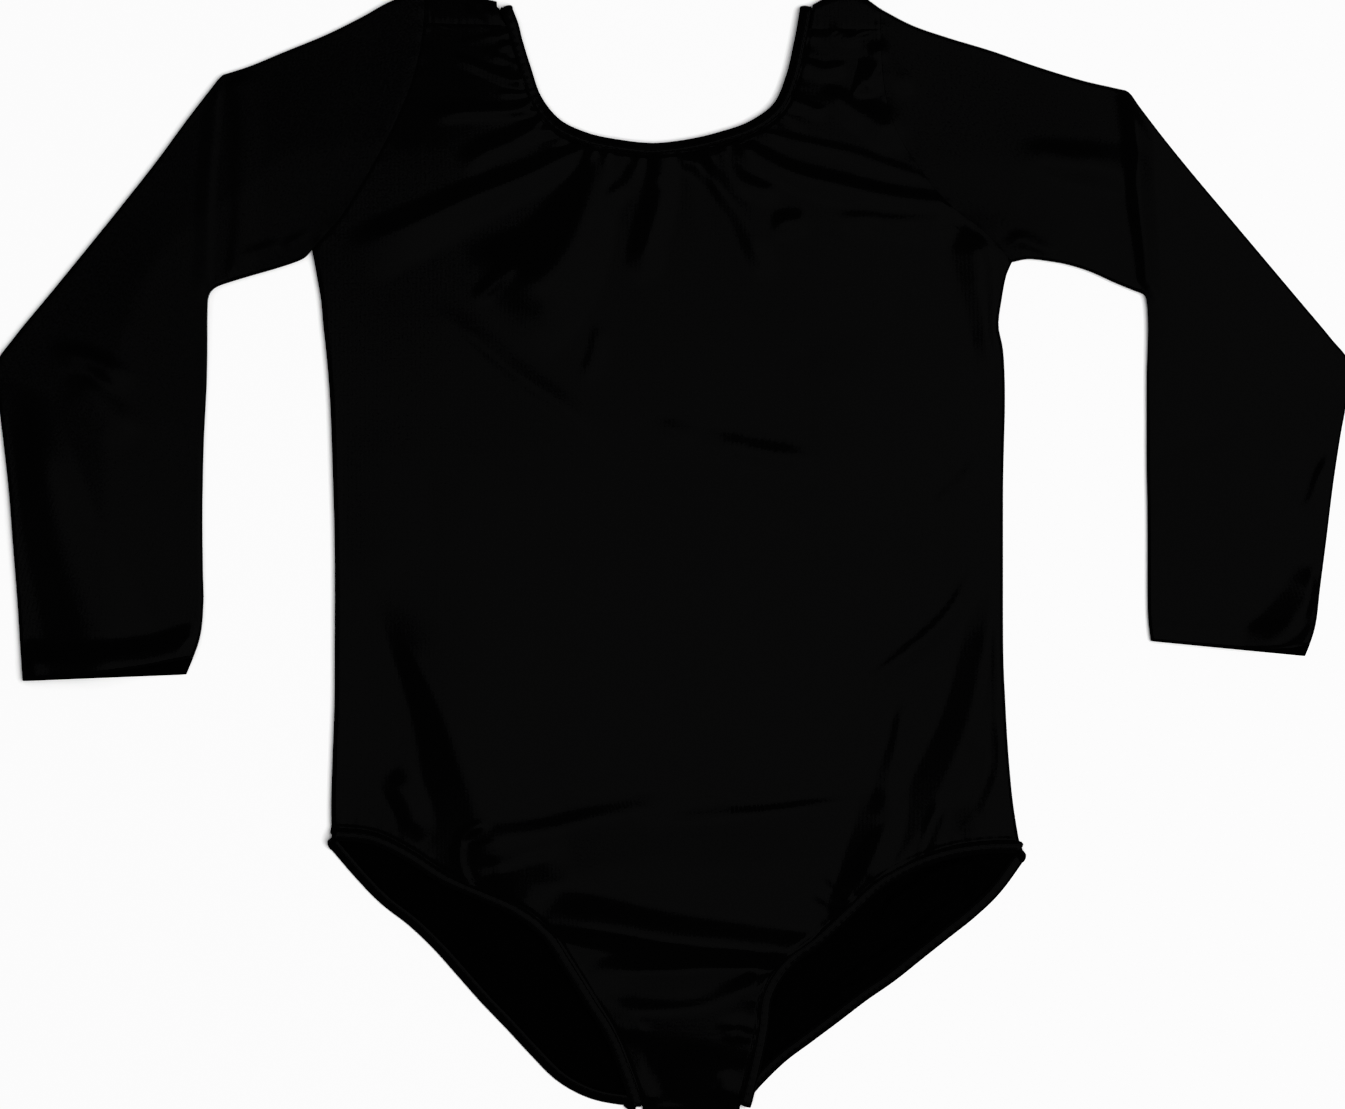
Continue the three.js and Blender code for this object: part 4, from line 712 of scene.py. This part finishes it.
# The flat outline filled as a patch and lifted to the face's height, then rows of half an ellipse round the
# crotch fold, and on along the table to the seam
def frontSurface():
    p = frontPanel
    top = movedLine(neckLine, p["tuck"])
    bendY = p["crotchFold"] + foldReach
    legs = []
    for rows, side in ((legFrontLeft, -1), (legFrontRight, 1)):
        line = movedLine(smoothLine([*rows[:-1], (rows[-1][0], bendY)]), side * p["tuck"])
        line[:, 1] = np.maximum(line[:, 1], bendY)
        legs.append(line)
    bottom = np.vstack([legs[0], legs[1][::-1]])
    left = np.vstack([top[:1], armholeLines[0][12:-1], sideLeft, legs[0][:1]])
    right = np.vstack([top[-1:], armholeLines[1][12:-1], sideRight, legs[1][:1]])
    lengths = [lengthsAlong(leg)[-1] for leg in legs]
    crotch = np.linalg.norm(legs[1][-1] - legs[0][-1])
    corners = np.array([lengths[0], lengths[0] + crotch]) / (sum(lengths) + crotch)
    u, (first, last) = withCorners(closerAtEnds(p["columns"], p["closer"][0]), corners)
    flat = patch(top, bottom, left, right, u, closerAtEnds(p["rows"], p["closer"][1]))
    plane = flat.reshape(-1, 2)
    height = turnedAtSides(faceHeight(plane), plane)
    points = withTurnedSides(np.dstack([flat, height.reshape(flat.shape[:2])]), -cloth["turnedIn"])
    numbers = numbered(points)
    edge = points[-1, first + 2:last + 3]
    bendRows = foldRows(edge, -foldReach, edge[:, 2], 0, p["foldSteps"])
    seamRow = np.column_stack([edge[:, 0], np.full(len(edge), p["crotchSeam"]), np.zeros(len(edge))])
    middleRow = (bendRows[-1] + seamRow) / 2
    turnedRow = seamRow + np.array([0, 0.05, cloth["turnedIn"]])
    wrap = np.concatenate([bendRows, middleRow[None], seamRow[None], turnedRow[None]])
    joined = np.vstack([numbers[-1:, first + 2:last + 3], numbered(wrap, numbers.size)])
    return (np.vstack([points.reshape(-1, 3), wrap.reshape(-1, 3)]),
            np.vstack([tableQuads(numbers), tableQuads(joined)]))


points, quads = frontSurface()
front = addCloth("frontPanel", points, quads, points[:, :2])
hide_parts("front_panel")
print("front panel:", len(points), "points")

# The back and seat, cut in one, with both shoulders reaching over the fold to the shoulder seams
backPanel = {
    "columns": 210,
    "rows": 170,
    "closer": (0.4, 0.4),
    "tuck": 0.9,
    "foldSteps": 9,
    "frontSteps": 8,          # rows from each fold down to its shoulder seam
    "flatCut": (0.33, 0.51),
    "cutArea": 0.119,
}


# The flat outline filled as a patch, low on the table but for its creases and the seat's ridges, then over
# each shoulder rows of half an ellipse, and down the front to the shoulder seam
def backSurface():
    p = backPanel
    lowered = np.array([0, -foldReach])
    bendLeft, bendRight = np.array(shoulderLeft) + lowered, np.array(shoulderRight) + lowered
    neck = movedLine(smoothLine([bendLeft[-1], *neckBack[1:-1], bendRight[0]]), p["tuck"])
    top = np.vstack([bendLeft[:-1], neck, bendRight[1:]])
    legs = [movedLine(smoothLine(rows), side * p["tuck"])
            for rows, side in ((legBackLeft, -1), (legBackRight, 1))]
    bottom = np.vstack([legs[0], legs[1][::-1]])
    left = np.vstack([top[:1], armholeLines[0][12:-1], sideLeft[:-1], legs[0][:1]])
    right = np.vstack([top[-1:], armholeLines[1][12:-1], sideRight[:-1], legs[1][:1]])
    whole, leftFold, rightFold = (lengthsAlong(line)[-1] for line in (top, bendLeft, bendRight))
    corners = np.array([leftFold, whole - rightFold]) / whole
    u, (first, last) = withCorners(closerAtEnds(p["columns"], p["closer"][0]), corners)
    flat = patch(top, bottom, left, right, u, closerAtEnds(p["rows"], p["closer"][1]))
    plane = flat.reshape(-1, 2)
    low = underHeight(plane) + lyingHeight(plane, seatFolds, cloth["seatRise"])
    height = np.where(plane[:, 1] > armholeLeft[-1][1], low, turnedAtSides(low, plane))
    points = withTurnedSides(np.dstack([flat, height.reshape(flat.shape[:2])]), cloth["turnedIn"])
    numbers = numbered(points)
    allPoints, quads, count = [points.reshape(-1, 3)], [tableQuads(numbers)], numbers.size
    spans = [(slice(1, first + 3), armholeLeft[1], neckFront[0]),
             (slice(last + 2, len(u) + 3), neckFront[-1], armholeRight[1])]
    for span, seamStart, seamEnd in spans:
        edge = points[0, span]
        along = lengthsAlong(edge)
        share = (along / along[-1])[:, None]
        seam = np.array(seamStart) * (1 - share) + np.array(seamEnd) * share
        bendRows = foldRows(edge, foldReach, 0, faceHeight(edge[:, :2]), p["foldSteps"])
        down = np.linspace(0, 1, p["frontSteps"])[1:, None, None]
        plane = edge[:, :2] * (1 - down) + seam * down
        frontRows = np.dstack([plane, faceHeight(plane.reshape(-1, 2)).reshape(plane.shape[:2])])
        besideSeam = beside(frontRows[-1:], frontRows[-2:-1])
        turnedRow = frontRows[-1:] - np.array([0, 0, cloth["turnedIn"]])
        wrap = np.concatenate([bendRows, frontRows[:-1], besideSeam, frontRows[-1:], turnedRow])
        joined = np.vstack([numbers[:1, span], numbered(wrap, count)])
        quads.append(tableQuads(joined[::-1]))
        allPoints.append(wrap.reshape(-1, 3))
        count += wrap.shape[0] * wrap.shape[1]
    return np.vstack(allPoints), np.vstack(quads)[:, ::-1]


points, quads = backSurface()
back = addCloth("backPanel", points, quads, points[:, :2])
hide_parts("back_panel")
print("back panel:", len(points), "points")

# Sleeves: flattened tubes. The upper layer falls short of the lower one at the cuff, so the hem's edge shows.
sleeves = {
    "left": {"armhole": armholeLeft, "rows": sleeveRowsLeft, "node": "sleeve_left", "side": -1,
             "shortfall": [(0, 0.3), (0.35, 1.1), (0.7, 3.6), (0.9, 6.0), (1, 7.0)]},
    "right": {"armhole": armholeRight, "rows": sleeveRowsRight, "node": "sleeve_right", "side": 1,
              "shortfall": [(0, 4.0), (0.1, 2.6), (0.25, 1.2), (0.4, 0.4), (1, 0.2)]},
    "rings": 190,
    "across": 62,
    "closer": 0.85,           # how much closer the points stand at the folded edges
    "capRows": 4,             # rows of the table over which the armhole's bow fades
    "hemWidth": 11.0,
    "hemEdge": 1.2,           # the hem's doubled cloth rises over this distance
    "hemRise": 0.25,
    "stitchFromEdge": 1.5,    # the hem's stitched groove, from the hem's upper edge
    "stitchDip": 0.12,
    "stitchWidth": 0.7,
    "flatCut": (0.25, 0.39),
    "cutArea": 0.053,
}


# Two layers as one ring: across the upper one and back over the lower one
def joinedLayers(upper, lower):
    return np.concatenate([upper, lower[:, -2:0:-1]], axis=1)


# Each layer runs from the outer to the inner edge in straight lines, but for the armhole's bow, and down the
# arm by its own length; the upper one is lifted to the face's height, the lower one lies on the table
def sleeveSurface(part):
    s = sleeves
    armhole = smoothLine(part["armhole"])
    rows = np.array(part["rows"], float)
    ends = np.array([[*part["armhole"][0], *part["armhole"][-1]]], float)
    path = smoothLine(np.vstack([ends, rows]), finer=20)
    q = np.linspace(0, len(rows), len(path))
    length = lengthsAlong((path[:, :2] + path[:, 2:]) / 2)
    across = closerAtEnds(s["across"], s["closer"])
    wanted = np.linspace(0, 1, s["rings"])

    # one layer of the tube, ending short of the cuff by the given distance at each share across
    def layer(shortfall):
        reached = (length[-1] - shortfall)[None, :] * wanted[:, None]
        step = np.interp(reached, length, q)
        outer = np.stack([np.interp(step, q, path[:, k]) for k in (0, 1)], axis=-1)
        inner = np.stack([np.interp(step, q, path[:, k]) for k in (2, 3)], axis=-1)
        chord = armhole[0] * (1 - across[:, None]) + armhole[-1] * across[:, None]
        bow = placesOn(armhole, across) - chord
        bowShare = np.maximum(0, 1 - step / s["capRows"])[..., None] ** 1.5
        return outer + (inner - outer) * across[:, None] + bow * bowShare, reached

    shares, cuts = np.array(part["shortfall"], float).T
    upper, reachedUpper = layer(np.interp(across, shares, cuts))
    lower, reachedLower = layer(np.zeros_like(across))
    width = np.linalg.norm(upper[:, -1:] - upper[:, :1], axis=2)
    edgeAway = np.minimum(across, 1 - across) * width
    fromCuff = reachedUpper[-1:] - reachedUpper
    hem = s["hemRise"] * (1 - smoothStep(fromCuff, s["hemWidth"] - s["hemEdge"], s["hemWidth"]))
    groove = np.exp(-(((fromCuff - s["hemWidth"] + s["stitchFromEdge"]) / s["stitchWidth"]) ** 2))
    face = faceHeight(upper.reshape(-1, 2)).reshape(upper.shape[:2]) + hem - s["stitchDip"] * groove
    ground = underHeight(lower.reshape(-1, 2)).reshape(lower.shape[:2])
    rings = joinedLayers(np.dstack([upper, turnedDown(face, edgeAway)]),
                         np.dstack([lower, turnedDown(ground, edgeAway)]))
    grain = np.dstack([joinedLayers(across * width, across * width),
                       joinedLayers(reachedUpper, reachedLower)])
    turned = rings[:1].copy()                                    # the armhole's seam allowance, turned in
    turned[0, :, 2] += np.where(np.arange(turned.shape[1]) < len(across), -1, 0.8) * cloth["turnedIn"]
    rings = np.concatenate([turned, rings[:1], beside(rings[:1], rings[1:2]), rings[1:]])
    grain = np.concatenate([grain[:1], grain[:1], grain])
    quads = tubeQuads(rings, endless=False)
    return rings.reshape(-1, 3), quads[:, ::-part["side"]], grain.reshape(-1, 2)


for side in ("left", "right"):
    part = sleeves[side]
    points, quads, grain = sleeveSurface(part)
    part["piece"] = addCloth("sleeve" + side.capitalize(), points, quads, grain)
    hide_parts(part["node"])
    print("sleeve", side + ":", len(points), "points")

# Casings: the edge of the cloth turned over elastic, which ruches it. One closed band each.
casing = {
    "width": 5.0,
    "thickness": 1.7,
    "wall": 0.45,
    "neckTilt": 13,           # how far its outer edge leans down, in degrees
    "offset": 2.8,            # middle of the band from the stitched line
    "frontHeight": 3.5,       # of the middle of the band on the front
    "backHeight": 1.2,        # and of its hidden part
    "turnRoom": 2.025,        # from the end of a strand to the outside of its turn
    "turnSteps": 9,
    "step": 0.62,
    "easing": 6,              # steps before and after over which the way across is evened out
    "around": 18,
    "roundness": 1.2,         # power of the section's sine: 1 is an ellipse, more is flatter at the edges
    "ruche": 0.02,            # swell of each small tuck along the elastic
    "rucheSpacing": 3.1,
}


# Part of a line where a measure stays on one side of a limit, with its cut end put on the limit
def cutLine(line, measure):
    keep = measure >= 0
    first = int(keep.argmax())
    last = len(keep) - 1 - int(keep[::-1].argmax())
    kept = [line[first:last + 1]]
    for inside, outside, atStart in ((first, first - 1, True), (last, last + 1, False)):
        if 0 <= outside < len(line):
            share = measure[inside] / (measure[inside] - measure[outside])
            end = line[inside] + (line[outside] - line[inside]) * share
            kept.insert(0, end[None]) if atStart else kept.append(end[None])
    return np.vstack(kept)


# The closed path of a casing and the way across it at each place: along the front strand, round one fold in
# half an ellipse, back along the hidden strand and round the other fold
def casingPath(front, back, outwardAtEnd, outwardAtStart, clothSide, frontTilt, backTilt):
    # one strand at its height; the way across points off its line and climbs by its tilt
    def strand(line, height, tilt):
        ahead = directions(line) * clothSide
        climb = np.full(len(line), np.tan(np.radians(tilt)))
        place = np.column_stack([line, np.full(len(line), height)])
        return place, np.column_stack([-ahead[:, 1], ahead[:, 0], climb])

    # from one strand's end to the other's, by a cosine, with a sine's bulge outward
    def turn(start, startAcross, end, endAcross, outward):
        angle = np.linspace(0, np.pi, casing["turnSteps"])[1:-1, None]
        share = (1 - np.cos(angle)) / 2
        bulge = np.array(outward, float) * (abs(end[2] - start[2]) / 2 * np.sin(angle))
        return start * (1 - share) + end * share + bulge, startAcross * (1 - share) + endAcross * share

    upper, upperAcross = strand(front, casing["frontHeight"], frontTilt)
    lower, lowerAcross = (part[::-1] for part in strand(back, casing["backHeight"], backTilt))
    endTurn, endAcross = turn(upper[-1], upperAcross[-1], lower[0], lowerAcross[0], outwardAtEnd)
    startTurn, startAcross = turn(lower[-1], lowerAcross[-1], upper[0], upperAcross[0], outwardAtStart)
    return (np.vstack([lower, startTurn, upper, endTurn]),
            np.vstack([lowerAcross, startAcross, upperAcross, endAcross]), clothSide)


# Values given at the points of a closed path, read at lengths along it
def aroundPath(values, length, wanted):
    ring = np.vstack([values, values[:1]])
    return np.column_stack([np.interp(wanted, length, column) for column in ring.T])


# Carries an oval section along the closed path: across times cos, up times sin to a power a little over 1,
# with a swell along the path for the tucks that the elastic draws up
def casingSurface(path, across, clothSide):
    length = lengthsAlong(np.vstack([path, path[:1]]))
    count = int(length[-1] / casing["step"])
    wanted = np.linspace(0, length[-1], count, endpoint=False)
    place, side = aroundPath(path, length, wanted), aroundPath(across, length, wanted)
    ahead = unit(np.roll(place, -2, axis=0) - np.roll(place, 2, axis=0))
    reach = range(-casing["easing"], casing["easing"] + 1)
    side = np.mean([np.roll(side, shift, axis=0) for shift in reach], axis=0)
    side = unit(side - ahead * (side * ahead).sum(1, keepdims=True))
    up = np.cross(ahead, side) * clothSide
    angle = np.linspace(0, 2 * np.pi, casing["around"], endpoint=False)
    flatCos = np.cos(angle)
    flatSin = np.sign(np.sin(angle)) * np.abs(np.sin(angle)) ** casing["roundness"]
    tucks = np.round(length[-1] / casing["rucheSpacing"])
    phase = 2 * np.pi * (tucks * wanted / length[-1] + 0.5 * np.sin(0.083 * wanted))    # unevenly spaced
    ruche = casing["ruche"] * (np.sin(phase) + 0.5 * np.sin(0.61 * phase + 1))
    halfWidth = casing["width"] / 2 + 0.6 * ruche
    halfHeight = casing["thickness"] / 2 + ruche
    rings = (place[:, None] + side[:, None] * (flatCos * halfWidth[:, None])[..., None]
             + up[:, None] * (flatSin * halfHeight[:, None])[..., None])
    grain = np.dstack(np.broadcast_arrays(flatCos * casing["width"] / 2, wanted[:, None]))
    return rings.reshape(-1, 3), tubeQuads(rings), grain.reshape(-1, 2), place, side, up


# Faces of a closed mesh, turned round where its signed volume says that they look inwards
def facingOut(points, quads):
    a, b, c, d = (points[quads[:, corner]] for corner in range(4))
    volume = (np.cross(a, b) * c).sum() + (np.cross(a, c) * d).sum()
    return quads if volume > 0 else quads[:, ::-1]


# Round the neck: the stitched lines moved out by the offset, cut where their turns reach the shoulder folds
def neckPath():
    front = movedLine(smoothLine([shoulderRight[0], *neckFront[::-1], shoulderLeft[-1]]), -casing["offset"])
    hidden = movedLine(smoothLine(neckBack[::-1]), -casing["offset"])
    highest = min(shoulderLeft[-1][1], shoulderRight[0][1]) - casing["turnRoom"]
    front, hidden = (cutLine(line, highest - line[:, 1]) for line in (front, hidden))
    return casingPath(front, hidden, (0, 1, 0), (0, 1, 0), 1, casing["neckTilt"], 0)


# The lines that each leg casing closes, and the x where its strands end at the hip and at the crotch
legCasings = {
    "left": {"front": legFrontLeft, "back": legBackLeft, "hipEdge": -143.4, "crotchEnd": -19.5, "side": 1,
             "backTilt": 20},
    "right": {"front": legFrontRight, "back": legBackRight, "hipEdge": 147.2, "crotchEnd": 29.8, "side": -1,
              "backTilt": 0},
    "lowest": -233.8,         # end of the front strands at the crotch fold
}


# Round a leg: the same, cut where its turns reach the hip's edge and the crotch fold
def legPath(part):
    side = part["side"]
    lowest = legCasings["lowest"] + casing["turnRoom"]
    hipLimit = part["hipEdge"] + side * casing["turnRoom"]
    front, hidden = (movedLine(smoothLine(line), -side * casing["offset"])
                     for line in (part["front"], part["back"]))
    front = cutLine(front, np.minimum((front[:, 0] - hipLimit) * side, front[:, 1] - lowest))
    hidden = cutLine(hidden, np.minimum((hidden[:, 0] - hipLimit) * side,
                                        (part["crotchEnd"] - hidden[:, 0]) * side))
    return casingPath(front, hidden, (0, -1, 0), (-side, 0, 0), side, 0, part["backTilt"])


# A sewing thread laid in a zigzag on the upper face of a casing
zigzag = {
    "length": 2.3,            # of one stitch, there and back
    "width": 0.7,
    "from": 1.95,             # middle of the zigzag from the middle of the band
    "radius": 0.09,
    "lift": 0.10,             # of the thread above the cloth
    "sink": 0.12,             # at each needle hole
    "sides": 6,
    "samples": 8,             # for each stitch
}


# The thread's middle swings from side to side as it runs, on the band's section, and a ring of points stands
# round it at each place
def zigzagSurface(place, side, up):
    length = lengthsAlong(np.vstack([place, place[:1]]))
    stitches = int(length[-1] / zigzag["length"])
    wanted = np.linspace(0, length[-1], stitches * zigzag["samples"], endpoint=False)
    swing = np.abs(2 * (wanted / length[-1] * stitches % 1) - 1)
    across = zigzag["from"] + zigzag["width"] * (smoothStep(swing, 0.08, 0.92) - 0.5)
    flatness = np.maximum(1 - (across / (casing["width"] / 2)) ** 2.4, 0.05) ** 0.5
    lift = casing["thickness"] / 2 * flatness + zigzag["lift"] - zigzag["sink"] * (np.abs(swing - 0.5) > 0.4)
    base, sideways, upwards = (aroundPath(values, length, wanted) for values in (place, side, up))
    upwards = unit(upwards)
    middle = base + unit(sideways) * across[:, None] + upwards * lift[:, None]
    ahead = unit(np.roll(middle, -1, axis=0) - np.roll(middle, 1, axis=0))
    flank = unit(np.cross(ahead, upwards))
    angle = np.linspace(0, 2 * np.pi, zigzag["sides"], endpoint=False)
    ring = np.cos(angle)[:, None] * flank[:, None] + np.sin(angle)[:, None] * upwards[:, None]
    rings = middle[:, None] + zigzag["radius"] * ring
    grain = np.dstack(np.broadcast_arrays(angle * zigzag["radius"], wanted[:, None]))
    return rings.reshape(-1, 3), tubeQuads(rings), grain.reshape(-1, 2)


# Adds a casing's band and its stitches, and gives the length of the strip it was cut from
def addCasing(name, node, path, across, clothSide):
    points, quads, grain, place, side, up = casingSurface(path, across, clothSide)
    band = addCloth(name, points, facingOut(points, quads), grain, casing["wall"])
    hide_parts(node)
    threadPoints, quads, grain = zigzagSurface(place, side, up)
    stitches = addPiece(name + "Stitches", threadPoints, facingOut(threadPoints, quads), grain, [thread])
    print(name + ":", len(points) + len(threadPoints), "points")
    return band, stitches, len(place) * casing["step"] * mm


casings = {"neckCasing": addCasing("neckCasing", "neck_casing", *neckPath())}
for side in ("left", "right"):
    name = "legCasing" + side.capitalize()
    casings[name] = addCasing(name, "leg_casing_" + side, *legPath(legCasings[side]))

# A pale table top, soft daylight all round, and two large soft boxes edge to edge, so placed that the left
# sleeve reflects the space beside them
studio = {
    "floorSize": 14.0,
    "floorHeight": -0.05 * mm,
    "floorColour": "#f7f7f7",
    "daylight": 0.35,
    "boxes": [((-0.84, -0.04), (3.6, 0.9)), ((0.377, -0.413), (2.7, 1.3))],    # upper left corners, sizes
    "boxTurn": 28.0,               # degrees
    "boxHeight": 2.1,
    "boxGlow": 9.0,                # watts of each square metre
    "levels": [(0, 0), (0.009, 0.0005), (0.024, 0.0009), (0.034, 0.0021), (0.06, 0.0029), (0.3, 0.2),
               (0.8, 0.966), (1, 0.975)],      # tones in and out: near black stays near black
    "lens": 120.0,
    "picture": (1345, 1109),
    "scale": 0.42 * mm,
    "centre": (672.5, 552.0),      # where x and y are 0 in the tables, as pixels of the picture
}

floorMaterial, tree = newMaterial("paintedTable")
place = addNode(tree, "ShaderNodeTexCoord").outputs["Object"]
grainy = addNode(tree, "ShaderNodeTexNoise",
                 {"Vector": place, "Scale": 40.0, "Detail": 4.0})      # patches 25 mm apart
floorGloss = addNode(tree, "ShaderNodeMapRange",
                     {"Value": grainy.outputs["Fac"], "To Min": 0.75, "To Max": 0.9})
floorShader = addNode(tree, "ShaderNodeBsdfPrincipled",
                      {"Base Color": linear(studio["floorColour"]), "Roughness": floorGloss.outputs["Result"],
                       "Specular IOR Level": 0.1})
addNode(tree, "ShaderNodeOutputMaterial", {"Surface": floorShader.outputs["BSDF"]})
half, low = studio["floorSize"] / 2, studio["floorHeight"]
floorMesh = bpy.data.meshes.new("table")
floorMesh.from_pydata([(-half, -half, low), (half, -half, low), (half, half, low), (-half, half, low)], [],
                      [(0, 1, 2, 3)])
floorMesh.materials.append(floorMaterial)
floor = bpy.data.objects.new("table", floorMesh)
bpy.context.scene.collection.objects.link(floor)

world = bpy.data.worlds.new("daylight")
world.use_nodes = True
background = world.node_tree.nodes["Background"]
background.inputs["Color"].default_value = (1.0, 1.0, 1.0, 1.0)
background.inputs["Strength"].default_value = studio["daylight"]
bpy.context.scene.world = world

turn = np.radians(studio["boxTurn"])
for number, ((cornerX, cornerY), (boxWidth, boxDepth)) in enumerate(studio["boxes"], 1):
    boxLight = bpy.data.lights.new(f"softBox{number}", "AREA")
    boxLight.shape = "RECTANGLE"
    boxLight.size, boxLight.size_y = boxWidth, boxDepth
    boxLight.energy = studio["boxGlow"] * boxWidth * boxDepth
    softBox = bpy.data.objects.new(boxLight.name, boxLight)
    softBox.location = (cornerX + np.cos(turn) * boxWidth / 2 + np.sin(turn) * boxDepth / 2,
                        cornerY + np.sin(turn) * boxWidth / 2 - np.cos(turn) * boxDepth / 2,
                        studio["boxHeight"])
    softBox.rotation_euler = (0, 0, turn)
    bpy.context.scene.collection.objects.link(softBox)

# The camera looks straight down, at the picture's own scale
width, height = studio["picture"]
cameraData = bpy.data.cameras.new("camera")
cameraData.lens = studio["lens"]
camera = bpy.data.objects.new("camera", cameraData)
pictureY = (studio["centre"][1] - height / 2) * studio["scale"] + shiftY * mm
distance = width * studio["scale"] * cameraData.lens / cameraData.sensor_width
camera.location = (0.0, pictureY, distance + cloth["frontFlat"] * mm)
cameraData.clip_end = 100.0
bpy.context.scene.collection.objects.link(camera)
bpy.context.scene.camera = camera
print("studio ready")

view = bpy.context.scene.view_settings
view.view_transform = "Standard"
view.look = "None"
view.use_curve_mapping = True
levels = view.curve_mapping.curves[3]           # red, green and blue together
for _ in studio["levels"][2:]:
    levels.points.new(0.5, 0.5)
for point, level in zip(levels.points, studio["levels"]):
    point.location = level
    point.handle_type = "VECTOR"
view.curve_mapping.update()
